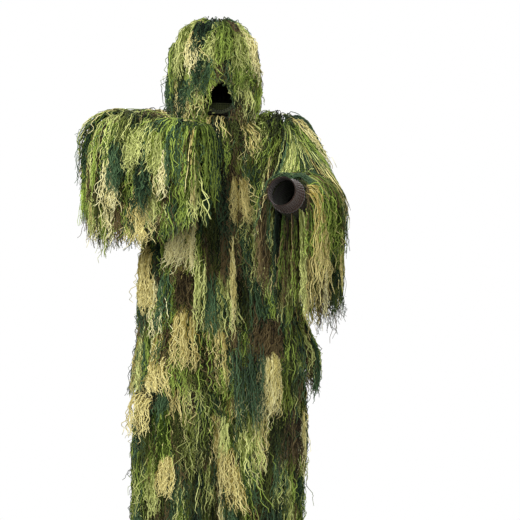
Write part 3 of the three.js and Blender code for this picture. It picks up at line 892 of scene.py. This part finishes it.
def drape(roots, heading, sway, length, lift, solids):
    """Strands laid from their roots, step by step, kept off the solids and pulled down."""
    pull = unit(DOWN + sway)
    step = (length / SEGMENTS)[:, None]
    points = [roots]
    for i in range(SEGMENTS):
        clear = ROOT_CLEAR + lift + TIP_CLEAR * ((i + 1) / SEGMENTS)
        ahead = points[-1] + heading * step
        for _ in range(2):
            for solid in solids:
                ahead = solid.push(ahead, clear)
            ahead = points[-1] + unit(ahead - points[-1]) * step
        heading = unit(unit(ahead - points[-1]) * STIFF + pull * FALLING)
        points.append(ahead)
    return np.stack(points, axis=1)


def over_face(points):
    """Whether points are at the hood's face opening, where nothing can be sewn."""
    local = moved(points, hood.back)
    across, height = local[..., 0] / FACE_WIDE, (local[..., 2] - FACE_CENTRE) / FACE_HIGH
    return (across ** 2 + height ** 2 < 1.1) & (local[..., 1] < 0)


def cut_at_face(points):
    """Strands are trimmed where they would hang over the window left open in front of the face."""
    local = moved(points, hood.back)
    x, z, wide, high = FACE_WINDOW
    window = ((local[..., 0] - x) / wide) ** 2 + ((local[..., 2] - z) / high) ** 2
    inside = (window < 1) & (local[..., 1] < IN_FRONT)
    first = np.where(inside.any(axis=1), inside.argmax(axis=1), SEGMENTS + 1).astype(float)
    last = np.clip(first - rng.uniform(0, 0.9, len(first)), 1.0, SEGMENTS)
    place = np.linspace(0, 1, SEGMENTS + 1)[None, :] * last[:, None]
    low = np.minimum(place.astype(int), SEGMENTS - 1)
    part = (place - low)[..., None]
    rows = np.arange(len(points))[:, None]
    return points[rows, low] * (1 - part) + points[rows, low + 1] * part


def crimp(points, across, length, kink, lock):
    """The kinks of old yarn, growing towards the tip. The strands of a lock share most of them."""
    count = len(points)
    share = np.linspace(0, 1, SEGMENTS + 1)[None, :]
    out = np.cross(across, unit(points[:, -1] - points[:, 0]))
    _, member = np.unique(lock, return_inverse=True)

    def waves(shortest, longest, owner):
        """A wave along each strand, with the length and the start that its owner has."""
        wavelength = rng.uniform(shortest, longest, owner.max() + 1)[owner, None]
        start = rng.random(owner.max() + 1)[owner, None]
        return np.sin(2 * math.pi * (share * length[:, None] / wavelength + start))

    for direction, size in ((across, CRIMP_ACROSS), (out, CRIMP_OUT)):
        wave = waves(0.05, 0.11, member) + 0.8 * waves(0.022, 0.045, np.arange(count))
        wave = wave + rng.normal(0, 0.45, (count, SEGMENTS + 1))
        amount = size * kink[:, None] * (share ** 0.6) * wave
        points = points + direction[:, None, :] * amount[..., None]
    return points


def add_uv(mesh, name, u, v):
    layer = mesh.uv_layers.new(name=name)
    layer.data.foreach_set("uv", np.stack([u, v], -1).astype(np.float32).ravel())


def strand_mesh(name, points, across, colour, tone):
    """One mesh of closed thin tubes, one to a strand."""
    count, rings = len(points), SEGMENTS + 1
    tangent = unit(np.gradient(points, axis=1))
    side = across[:, None, :] - tangent * (tangent * across[:, None, :]).sum(-1, keepdims=True)
    side = unit(side)
    up = np.cross(tangent, side)
    share = np.linspace(0, 1, rings)
    taper = 1 - 0.45 * share ** 3
    radius = STRAND_RADIUS * taper * rng.uniform(0.75, 1.2, count)[:, None]
    turns = 2 * math.pi * np.arange(SIDES) / SIDES
    around = about(turns, side[:, :, None, :], up[:, :, None, :])
    verts = points[:, :, None, :] + radius[:, :, None, None] * around

    k, segment = np.arange(SIDES), np.arange(SEGMENTS)
    after = (k + 1) % SIDES
    corner = np.stack([k, after, after + SIDES, k + SIDES], -1)
    quads = (segment[:, None, None] * SIDES + corner).ravel()
    one = np.concatenate([quads, k[::-1], k + SEGMENTS * SIDES])     # its sides, then its ends
    loops = (np.arange(count)[:, None] * rings * SIDES + one).ravel()
    sizes = [4] * (SEGMENTS * SIDES) + [SIDES, SIDES]
    starts = np.cumsum([0] + sizes * count)[:-1]

    mesh = bpy.data.meshes.new(name)
    mesh.vertices.add(count * rings * SIDES)
    mesh.vertices.foreach_set("co", verts.astype(np.float32).ravel())
    mesh.loops.add(len(loops))
    mesh.loops.foreach_set("vertex_index", loops.astype(np.int32))
    mesh.polygons.add(len(starts))
    mesh.polygons.foreach_set("loop_start", starts.astype(np.int32))
    mesh.polygons.foreach_set("material_index", np.repeat(colour, len(sizes)).astype(np.int32))
    mesh.polygons.foreach_set("use_smooth", np.ones(len(starts), bool))
    tones = mesh.attributes.new("tone", "FLOAT", "POINT")
    # Painted shade along each strand: darker at its root, where the strands crowd, and paler to its tip.
    tone_with_root_shade = np.repeat(0.60 * share - 0.32 + tone[:, None], SIDES, axis=1)     # paler to the tip
    tones.data.foreach_set("value", tone_with_root_shade.astype(np.float32).ravel())

    # Each strand has a cell of its own in the OFBake map.
    cells = math.ceil(math.sqrt(count))
    u = np.tile((np.stack([k, k + 1, k + 1, k], -1) / SIDES).ravel(), SEGMENTS)
    v = np.tile((segment[:, None] + [0, 0, 1, 1]) / SEGMENTS, SIDES).ravel()
    u = np.concatenate([u, [0.3, 0.5, 0.7] * 2])
    v = np.concatenate([v, [0.0, 0.02, 0.0, 1.0, 0.98, 1.0]])
    index = np.arange(count)[:, None]
    add_uv(mesh, "OFBake", (index % cells + 0.1 + 0.8 * u) / cells,
           (index // cells + 0.1 + 0.8 * v) / cells)
    mesh.update(calc_edges=True)
    for material in YARN_MATERIALS:
        mesh.materials.append(material)
    return show(name, mesh)


def solids_for(piece):
    if "hood" in piece:
        return [hood, dome]
    if any(part in piece for part in ("thigh", "knee", "shin")):
        return list(legs.values())
    return [torso, *ALL_LIMBS]


def make_yarn(piece, name, wanted=None):
    """The meshes of one piece of yarn, from its bed, or of those strands whose roots are wanted."""
    columns = [np.concatenate(column) for column in zip(*beds[piece])]
    roots = columns[0]
    solids = solids_for(piece)
    within = roots.copy()
    for solid in solids:
        within = solid.push(within, np.full(len(roots), -SUNK))
    free = np.linalg.norm(within - roots, axis=1) < 1e-4
    if "hood" in piece:
        free &= ~over_face(roots)
    if wanted is not None:
        free &= wanted(roots)
    columns = [column[free] for column in columns]
    roots, across, heading, sway, length, colour, tone, lift, kink, lock = columns
    points = drape(roots, heading, sway, length, lift, solids)
    if "hood" in piece:
        points = cut_at_face(points)
    points = crimp(points, across, length, kink, lock)
    points[..., 2] = np.maximum(points[..., 2], GROUND + GROUND_GAP)
    fits = (points > np.array(CAD_LOW) - SPILL) & (points < np.array(CAD_HIGH) + SPILL)
    fits = np.flatnonzero(fits.all(axis=(1, 2)))
    parts = math.ceil(len(fits) / MOST_STRANDS)
    made = []
    for index, part in enumerate(np.array_split(fits, parts)):
        label = f"{name}_{index + 1}" if parts > 1 else name
        made.append(strand_mesh(label, points[part], across[part], colour[part], tone[part]))
    return made


sew_jacket()
sew_legs()
sew_sleeves()
sew_hood()
sew_standouts()

# ---- Cloth -----------------------------------------------------------------------------

SHEET = 0.0022             # the cloth with its mesh lining
SEAM = 0.0005              # the gap between two sheets sewn together
PLACKET = 0.0145           # half of what the zip takes between the two fronts
TAB_HALF = 0.0136
ARMHOLE_GAP = 0.004
RIBS = 34                  # ribs round a cuff
TOOTH_PITCH = 0.0024
HIPS_REACH = 0.45          # sheets round the hips are looked for no further out than this
HALVINGS = 22              # steps of that search
FACE_EDGE = 0.008          # how far the hood's panels stop short of its face opening
HEM_OFFSET = 0.004         # how far round the opening the middle of its hem runs

sheets = {}                # each cloth piece and what it was cut to


def creases(points, size):
    """How far cloth stands out of its smooth shape: broad folds with small wrinkles on them."""
    x, y, z = points[..., 0], points[..., 1], points[..., 2]
    broad = np.sin(31 * x + 17 * y + 9 * z + 1.3) + np.sin(23 * y - 13 * x + 21 * z)
    fine = np.sin(83 * x - 61 * z + 3 * np.sin(29 * y))
    return size * (0.5 * broad + 0.4 * fine)


def cloth(name, points, look, held="hung", loop=False, keep=None):
    """A thin sheet through a grid of points. Its first row joins its last if it is a loop, and
    keep says by their middles which of its faces there are."""
    rows, columns = points.shape[:2]
    shape = (rows if loop else rows - 1, columns - 1)
    i, j = np.indices(shape).reshape(2, -1)
    corners = [(i, j), (i + 1, j), (i + 1, j + 1), (i, j + 1)]
    faces = np.stack([(a % rows) * columns + b for a, b in corners], -1)
    flat_points = points.reshape(-1, 3)
    quads = flat_points[faces]
    kept = np.ones(len(faces), bool) if keep is None else keep(quads.mean(axis=1))
    wide = (np.linalg.norm(quads[:, 1] - quads[:, 0], axis=1) * kept).reshape(shape)
    long = (np.linalg.norm(quads[:, 3] - quads[:, 0], axis=1) * kept).reshape(shape)
    width, length = float(wide.sum(axis=0).max()), float(long.sum(axis=1).max())
    diagonals = quads[kept][:, 2:] - quads[kept][:, :2]
    area = 0.5 * np.linalg.norm(np.cross(diagonals[:, 0], diagonals[:, 1]), axis=1).sum()

    mesh = bpy.data.meshes.new(name)
    mesh.from_pydata(flat_points.tolist(), [], faces[kept].tolist())
    u = np.stack([a[kept] for a, _ in corners], -1) / shape[0]
    v = np.stack([b[kept] for _, b in corners], -1) / shape[1]
    add_uv(mesh, "OFBake", u, v)
    add_uv(mesh, "weave", u * width, v * length)
    mesh.materials.append(look)
    piece = show(name, mesh)
    thick = piece.modifiers.new("thickness", "SOLIDIFY")
    thick.thickness, thick.offset = SHEET, 0
    depsgraph = bpy.context.evaluated_depsgraph_get()
    piece.data = bpy.data.meshes.new_from_object(piece.evaluated_get(depsgraph))
    piece.modifiers.clear()
    piece.data.polygons.foreach_set("use_smooth", np.ones(len(piece.data.polygons), bool))
    sheets[name] = {"piece": piece, "flat": (width, length), "area": float(area), "held": held}
    return piece


def stand_in(piece, node, *bodies):
    """The piece stands for a CAD node. It rides on one body, or bends from one body to another
    between two points."""
    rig.replaces(piece, node)
    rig.slot(piece, SLOTS[node])
    if len(bodies) == 1:
        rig.ride(piece, *bodies)
    else:
        first, second, *ends = bodies
        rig.blend(piece, first, second, *(tuple(float(c) for c in end) for end in ends))
    return piece


def dress(name, grid, look, node, *bodies, **options):
    """A thin sheet through a grid of points, in the place of a CAD node."""
    stand_in(cloth(name, grid, look, **options), node, *bodies)


def front_angle(x, z):
    """The angle round the torso of the point of its front at x."""
    middle, _, wide, _ = torso.section(z)
    return 1.5 * math.pi + np.arcsin(signed_power((x - middle) / wide, SQUARENESS / 2))


def torso_grid(start, end, heights, count, size=0.0035):
    """A grid over the torso between two angles, which may change with height. It has no creases
    along the zip."""
    share, z = crossed(np.linspace(0, 1, count), heights)
    points, normals = torso.around(start + (end - start) * share, z)
    calm = np.clip((np.hypot(points[..., 0], points[..., 1] + 0.13) - 0.02) / 0.06, 0, 1)
    return points + normals * (creases(points, size) * calm)[..., None]


def outside_armholes(centres):
    clear = np.ones(len(centres), bool)
    for upper, _ in arms.values():
        away = np.linalg.norm(centres - upper.start, axis=1)
        clear &= away > upper.radii[0] + ARMHOLE_GAP
    return clear


def make_jacket():
    heights = np.linspace(JACKET_TOP, HEM_TOP, 52)
    tab_heights = np.linspace(JACKET_TOP, THROAT_TAB_END, 10)
    right_edge, left_edge = (front_angle(x, heights) for x in (-PLACKET, PLACKET))
    tab_edges = [front_angle(x, tab_heights) for x in (-TAB_HALF, TAB_HALF)]
    panels = [
        ("jacket_back", "jacket_back_panel", (0, math.pi, heights, 72)),
        ("jacket_front_right", "jacket_front_panel_right", (math.pi, right_edge, heights, 36)),
        ("jacket_front_left", "jacket_front_panel_left", (left_edge, 2 * math.pi, heights, 36)),
        ("jacket_throat_flap", "jacket_throat_tab", (*tab_edges, tab_heights, 5)),
    ]
    for name, node, spread in panels:
        dress(name, torso_grid(*spread), cloth_look, node, "jacket", keep=outside_armholes)

    heights = np.linspace(HEM_TOP - SEAM, JACKET_HEM, 7)
    start, end = front_angle(PLACKET, heights), front_angle(-PLACKET, heights) + 2 * math.pi
    grid = torso_grid(start, end, heights, 260, 0.001)
    gather = 0.0016 * np.sin(np.linspace(0, 130 * math.pi, 260))[:, None, None]
    outwards = unit((grid - [0.03, 0.018, 0]) * [1, 1, 0])
    dress("jacket_hem_band", grid + outwards * gather, elastic_look, "jacket_hem_elastic",
          "jacket", held="gathered")


def make_collar():
    angle, z = crossed(ring_of(96), np.linspace(-0.002, 0.038, 8))
    radius = 0.0725 - 0.1 * (z + 0.002) + 0.0006 * np.sin(9 * angle)
    grid = np.stack([radius * np.cos(angle), radius * np.sin(angle), z], -1)
    dress("collar_band", grid, cloth_look, "collar", "collar", loop=True)


def bend_of(side):
    """How far a sleeve turns at its elbow, how far the bend reaches from the elbow's corner, and
    how far along the sleeve the bend starts."""
    upper, fore = arms[side]
    turn = math.acos(float(np.clip(upper.axis @ fore.axis, -1, 1)))
    tangent = upper.radii[1] * math.tan(turn / 2)
    return turn, tangent, upper.length - tangent


def sleeve_rings(side, start, end, count):
    """A sleeve between two distances along it, its elbow bent round in a tight fold."""
    upper, fore = arms[side]
    turn, tangent, bend_start = bend_of(side)
    radius = upper.radii[1]
    hinge = unit(np.cross(upper.axis, fore.axis))
    inner = unit(np.cross(hinge, upper.axis))
    pivot = upper.start + upper.axis * bend_start + inner * radius
    rings = []
    for s in np.linspace(start, end, count):
        bent = np.clip((s - bend_start) / radius, 0, turn)
        toward = np.array(Matrix.Rotation(bent, 3, Vector(hinge)))
        out, axis = toward @ -inner, toward @ upper.axis
        past = s - bend_start - bent * radius
        wide = upper.radius(s) if s < bend_start else fore.radius(tangent + max(past, 0))
        ring = pivot + out * radius + axis * past + wide * about(ring_of(64), out, hinge)
        if 0 < bent < turn:
            ring = fore.push(upper.push(ring, 0.0), 0.0)
        rings.append(ring)
    grid = np.stack(rings, axis=1)
    middle = grid.mean(axis=0, keepdims=True)
    return grid + unit(grid - middle) * creases(grid, 0.003)[..., None]


def outside_torso(centres):
    return np.linalg.norm(torso.push(centres, -0.004) - centres, axis=1) < 1e-6


def make_cuff(side, fore):
    angle, share = crossed(ring_of(RIBS * 6), np.linspace(0, 1, 15))
    radius = fore.radii[1] + (0.040 - fore.radii[1]) * share ** 0.6
    radius = radius + 0.0011 * np.cos(RIBS * angle) * np.minimum(1, 6 * (1 - share))
    radius = radius - 0.002 * np.sin(math.pi * share)
    out = about(angle, fore.up, fore.side) * radius[..., None]
    grid = fore.end + fore.axis * (0.0008 + 0.057 * share)[..., None] + out
    dress(f"ribbed_cuff_{side}", grid, rib_look, f"cuff_{side}", f"forearm_{side}",
          held="gathered", loop=True)


def make_sleeves():
    for side, (upper, fore) in arms.items():
        turn, tangent, bend = bend_of(side)
        fold_end = min(FOLD_END[side], bend - 0.02)
        straight = bend + upper.radii[1] * turn
        wrist = straight + fore.length - tangent
        upper_body, fore_body = f"upper_sleeve_{side}", f"forearm_{side}"
        across = unit(upper.axis + fore.axis) * 0.05
        at_shoulder = ("jacket", upper_body, upper.start, upper.start + upper.axis * fold_end)
        at_elbow = (upper_body, fore_body, upper.end - across, upper.end + across)
        parts = [
            ("shoulder_cloth", "shoulder_fold", (-0.02, fold_end, 14), at_shoulder,
             {"keep": outside_torso}),
            ("upper_cloth", "sleeve_upper", (fold_end + SEAM, bend, 12), [upper_body],
             {"keep": outside_torso}),
            ("elbow_cloth", "elbow_fold", (bend + SEAM, straight, 16), at_elbow,
             {"held": "folded"}),
            ("forearm_cloth", "sleeve_forearm", (straight + SEAM, wrist, 16), [fore_body], {}),
        ]
        for name, node, spread, bodies, options in parts:
            dress(f"{name}_{side}", sleeve_rings(side, *spread), cloth_look, f"{node}_{side}",
                  *bodies, loop=True, **options)
        make_cuff(side, fore)


def hips_grid(inside, centre, angles, heights):
    """A sheet round a body given by a test, found outwards from its middle at each height."""
    angle, z = crossed(angles, heights)
    x, y = centre(z)
    middle = np.stack([x, y, z], -1)
    outwards = about(angle, np.array([1, 0, 0]), np.array([0, 1, 0]))
    low, high = np.zeros_like(z), np.full_like(z, HIPS_REACH)
    for _ in range(HALVINGS):
        radius = (low + high) / 2
        points = middle + radius[..., None] * outwards
        within = inside(points)
        low, high = np.where(within, radius, low), np.where(within, high, radius)
    return points + outwards * creases(points, 0.003)[..., None]


def in_hips(points):
    return np.any([body.holds(points) for body in (seat, *legs.values())], axis=0)


def hips_middle(z):
    return 0.012 + 0 * z, 0.005 + 0 * z


def make_leg(side, leg):
    sign = -1 if side == "right" else 1
    thigh, shin = f"thigh_{side}", f"shin_{side}"

    def in_half(points):
        depth = (SEAT_BOTTOM - points[..., 2]) / (SEAT_BOTTOM - THIGH_TOP)
        at_seat = points * [1, 1, 0] + [0, 0, SEAT_BOTTOM]
        own_side = sign * (points[..., 0] - LEGS_PART) > 0.0008
        return (leg.holds(points) | seat.holds(at_seat, 1 + 1.6 * depth)) & own_side

    def leg_middle(z):
        return leg.section(z)[:2]

    grid = hips_grid(in_half, leg_middle, ring_of(72),
                     np.linspace(SEAT_BOTTOM - SEAM, THIGH_TOP, 12))
    x, y = leg_middle((SEAT_BOTTOM + THIGH_TOP) / 2)
    dress(f"crotch_cloth_{side}", grid, cloth_look, "trouser_crotch_fold",
          "jacket", thigh, (x, y, SEAT_BOTTOM), (x, y, THIGH_TOP), loop=True)

    x, y = leg_middle(KNEE)
    knee_top, knee_end = KNEE + KNEE_FOLD, KNEE - KNEE_FOLD
    at_knee = (thigh, shin, (x, y, knee_top), (x, y, knee_end))
    parts = [
        ("thigh_cloth", "trouser_thigh", THIGH_TOP, knee_top, [thigh]),
        ("knee_cloth", "knee_fold", knee_top, knee_end, at_knee),
        ("shin_cloth", "trouser_shin", knee_end, ANKLE_TOP, [shin]),
        ("ankle_gather", "ankle_elastic", ANKLE_TOP, TROUSER_HEM, [shin]),
    ]
    for name, node, top, bottom, bodies in parts:
        elastic = name == "ankle_gather"
        angle, z = crossed(ring_of(240 if elastic else 72), np.linspace(top - SEAM, bottom, 22))
        points, normals = leg.around(angle, z)
        out = creases(points, 0.0035) + elastic * 0.0018 * np.sin(50 * angle)
        dress(f"{name}_{side}", points + normals * out[..., None],
              elastic_look if elastic else cloth_look, f"{node}_{side}", *bodies,
              held="gathered" if elastic else "hung", loop=True)


def make_trousers():
    angle = ring_of(300)
    heights = np.linspace(WAIST_TOP - 0.0015, WAISTBAND_END, 7)
    waist = hips_grid(in_hips, hips_middle, angle, heights)
    waist[..., :2] *= 1 + 0.010 * np.sin(70 * angle)[:, None, None]
    dress("waistband_gather", waist, elastic_look, "trouser_waistband", "jacket",
          held="gathered", loop=True)
    heights = np.linspace(WAISTBAND_END - SEAM, SEAT_BOTTOM, 22)
    for part, start in (("back", 0.0), ("front", math.pi)):
        angle = np.linspace(start, start + math.pi, 64)
        dress(f"trouser_seat_{part}_cloth", hips_grid(in_hips, hips_middle, angle, heights),
              cloth_look, f"trouser_seat_{part}", "jacket")
    for side, leg in legs.items():
        make_leg(side, leg)


def make_hood():
    # The rows of the hood, with two at the top that are drawn in to close it.
    heights = np.concatenate([np.linspace(0.018, 0.286, 56), [0.289, 0.2905]])
    shrink = np.concatenate([np.ones(56), [0.55, 0.02]])
    angle, z = crossed(ring_of(120), heights)
    x, y, wide, deep = hood.section(z)
    across = signed_power(np.cos(angle), 2 / SQUARENESS) * wide * shrink
    along = signed_power(np.sin(angle), 2 / SQUARENESS) * deep * shrink
    local = np.stack([x + across, y + along, z], -1)
    local = local * (1 + creases(local, 0.02)[..., None] * [1, 1, 0])
    grid = moved(local, HOOD_PLACE)

    def panel(belongs):
        """Keeps the faces round the face opening that belong to a panel, by how far across they
        are and whether they are above the neck band."""
        def keep(centres):
            spot = moved(centres, hood.back)
            edge = ((spot[:, 0] / (FACE_WIDE + FACE_EDGE)) ** 2
                    + ((spot[:, 2] - FACE_CENTRE) / (FACE_HIGH + FACE_EDGE)) ** 2)
            clear = (edge > 1) | (spot[:, 1] > 0)
            return clear & belongs(spot[:, 0], spot[:, 2] > HOOD_BAND_TOP)
        return keep

    panels = [
        ("hood_centre_cloth", "hood_centre_panel", lambda x, up: up & (np.abs(x) < HOOD_STRIP)),
        ("hood_side_cloth_right", "hood_side_panel_right", lambda x, up: up & (-x >= HOOD_STRIP)),
        ("hood_side_cloth_left", "hood_side_panel_left", lambda x, up: up & (x >= HOOD_STRIP)),
        ("hood_neck_cloth", "hood_neck_band", lambda x, up: ~up),
    ]
    for name, node, belongs in panels:
        dress(name, grid, lining_look, node, "hood", loop=True, keep=panel(belongs))

    angle, ring = crossed(ring_of(180), full_circle(11))
    x = (FACE_WIDE + HEM_OFFSET) * np.cos(angle)
    z = FACE_CENTRE + (FACE_HIGH + HEM_OFFSET) * np.sin(angle)
    middle, y, wide, deep = hood.section(z)
    front = y - deep * (1 - np.abs((x - middle) / wide) ** SQUARENESS) ** (1 / SQUARENESS)
    rim = 0.0045 + 0.0008 * np.sin(45 * angle)
    out = rim * np.cos(ring)
    local = np.stack([x + out * np.cos(angle), front + rim * np.sin(ring),
                      z + out * np.sin(angle)], -1)
    dress("hood_face_gather", moved(local, HOOD_PLACE), elastic_look, "hood_face_hem", "hood",
          held="gathered", loop=True)


def make_tape(side):
    low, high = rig.box(f"zip_tape_{side}")
    x, z = crossed(np.linspace(low.x, high.x, 8), np.linspace(high.z, low.z, 150))
    y = (low.y + high.y) / 2 + 0.0002 * np.sin(x * 900)
    dress(f"zip_tape_cloth_{side}", np.stack([x, y, z], -1), tape_look, f"zip_tape_{side}",
          "jacket")


def make_coil():
    """The coil of the zip, as a narrowing block for each turn, on one side and then the other."""
    low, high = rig.box("zip_chain")
    middle = low.y + 0.0013
    block = [(0, 1, 2, 3), (7, 6, 5, 4), (0, 4, 5, 1), (1, 5, 6, 2), (2, 6, 7, 3), (3, 7, 4, 0)]
    points, faces = [], []
    for index in range(int((high.z - low.z) / TOOTH_PITCH)):
        side = 1 if index % 2 else -1
        z = high.z - TOOTH_PITCH * (index + 0.5)
        faces += [[len(points) + corner for corner in quad] for quad in block]
        for x, deep in ((-side * 0.0007, 0.0011), (side * 0.0026, 0.0009)):
            for dy, dz in ((-1, -1), (1, -1), (1, 1), (-1, 1)):
                points.append((x, middle + dy * deep, z + dz * TOOTH_PITCH * 0.42))
    mesh = bpy.data.meshes.new("zip_coil")
    mesh.from_pydata(points, [], faces)
    mesh.materials.append(metal_look)
    stand_in(show("zip_coil", mesh), "zip_chain", "jacket")


def make_zip():
    make_tape("right")
    make_tape("left")
    make_coil()
    for name in ("zip_bottom_stop", "zip_slider", "zip_pull_tab"):
        node = NODES[name]
        node.data.materials.clear()
        node.data.materials.append(metal_look)
        bevel = node.modifiers.new("worn_edges", "BEVEL")
        bevel.width, bevel.segments = 0.0003, 2


make_jacket()
make_collar()
make_sleeves()
make_trousers()
make_hood()
make_zip()

# ---- Yarn on its bodies ------------------------------------------------------------------

SKIRT_TIERS = ("yarn_jacket_tier_4", "yarn_jacket_tier_5")     # these hang over the legs
SKIRT_BEND = (-0.60, -0.82)                                    # the heights that they bend between
HALVES = {"right": lambda roots: roots[:, 0] < LEGS_PART,
          "left": lambda roots: roots[:, 0] >= LEGS_PART}

bends = {}                 # how yarn that crosses a joint bends: two bodies and two points
for side, (upper, fore) in arms.items():
    halfway = unit(upper.axis + fore.axis) * 0.06
    bends[f"yarn_sleeve_upper_{side}"] = (
        "jacket", f"upper_sleeve_{side}", upper.start, upper.start + upper.axis * 0.08)
    bends[f"yarn_elbow_{side}"] = (
        f"upper_sleeve_{side}", f"forearm_{side}", upper.end - halfway, upper.end + halfway)
for side, leg in legs.items():
    x, y = leg.section(KNEE)[:2]
    bends[f"yarn_thigh_{side}"] = (
        f"thigh_{side}", f"shin_{side}", (x, y, KNEE + 0.05), (x, y, KNEE - 0.05))


def runs_of(node):
    """The yarn of a CAD node by what it moves with: a name, the bodies, and the roots in it."""
    name = node.replace("yarn_", "strands_")
    if node not in SKIRT_TIERS:
        return [(name, bends.get(node, [NODES[node]["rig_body"]]), None)]
    hips = {side: JOINTS[f"hip_{side}"]["pos_m"][0] for side in HALVES}
    return [(f"{name}_{side}", ("jacket", f"thigh_{side}", *((x, 0, z) for z in SKIRT_BEND)),
             HALVES[side]) for side, x in hips.items()]


fringes = {}               # the yarn objects by the CAD node that they stand for
for node in sorted(beds):
    fringes[node] = [stand_in(strands, node, *bodies) for name, bodies, wanted in runs_of(node)
                     for strands in make_yarn(node, name, wanted)]

# ---- What each sheet was cut to ----------------------------------------------------------

FRINGE_OF = {
    "jacket_back": [f"yarn_jacket_tier_{i}" for i in range(1, 6)],
    "hood_centre_cloth": ["yarn_hood_crown", "yarn_hood_mantle"],
}
for side in arms:
    FRINGE_OF[f"upper_cloth_{side}"] = [f"yarn_sleeve_upper_{side}", f"yarn_elbow_{side}"]
    FRINGE_OF[f"forearm_cloth_{side}"] = [f"yarn_forearm_{side}"]
    FRINGE_OF[f"thigh_cloth_{side}"] = [f"yarn_thigh_{side}"]
    FRINGE_OF[f"shin_cloth_{side}"] = [f"yarn_knee_{side}", f"yarn_shin_{side}"]
for name, cut in sheets.items():
    fringe = [strands for node in FRINGE_OF.get(name, []) for strands in fringes[node]]
    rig.sheet(cut["piece"], flat=cut["flat"], held=cut["held"], area=cut["area"], with_pieces=fringe)

# ---- Stage -----------------------------------------------------------------------------

AIM = Vector((0, 0, -0.5))     # where the lamps point
# Each lamp's name, place, size and power.
LAMPS = [
    ("key", (-1.8, -3.5, 1.9), 1.6, 175),
    ("front", (0.0, -4.4, 0.9), 2.0, 72),
    ("fill", (3.0, -2.6, 0.6), 2.6, 35),
    ("back", (0.4, 3.2, 2.2), 2.4, 90),
]


def make_stage():
    bpy.ops.mesh.primitive_circle_add(vertices=96, radius=1.2, fill_type="NGON",
                                      location=(0, 0, GROUND))
    floor = bpy.context.object
    floor.name = "floor"
    floor.data.materials.append(Look("floor_paper", 0.85).finished((0.86, 0.86, 0.85, 1)))
    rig.stage(floor)

    # The world looks white and lights the suit less than it looks.
    world = bpy.data.worlds.new("studio")
    bpy.context.scene.world = world
    world.use_nodes = True
    tree = world.node_tree
    tree.nodes["Background"].inputs["Color"].default_value = (1, 1, 1, 1)
    path = tree.nodes.new("ShaderNodeLightPath")
    strength = tree.nodes.new("ShaderNodeMapRange")
    strength.inputs["To Min"].default_value = 0.20
    strength.inputs["To Max"].default_value = 1.0
    tree.links.new(path.outputs["Is Camera Ray"], strength.inputs["Value"])
    tree.links.new(strength.outputs[0], tree.nodes["Background"].inputs["Strength"])
    bpy.context.scene.view_settings.view_transform = "Standard"

    for name, place, size, power in LAMPS:
        lamp = show(name, bpy.data.lights.new(name, "AREA"))
        lamp.data.size = size
        lamp.data.energy = power
        lamp.location = place
        lamp.rotation_euler = (AIM - Vector(place)).to_track_quat("-Z", "Y").to_euler()


make_stage()

low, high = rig.bounds()
with open("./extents.json", "w") as f:
    json.dump({"cad": [list(CAD_LOW), list(CAD_HIGH)], "visual": [list(low), list(high)]}, f)
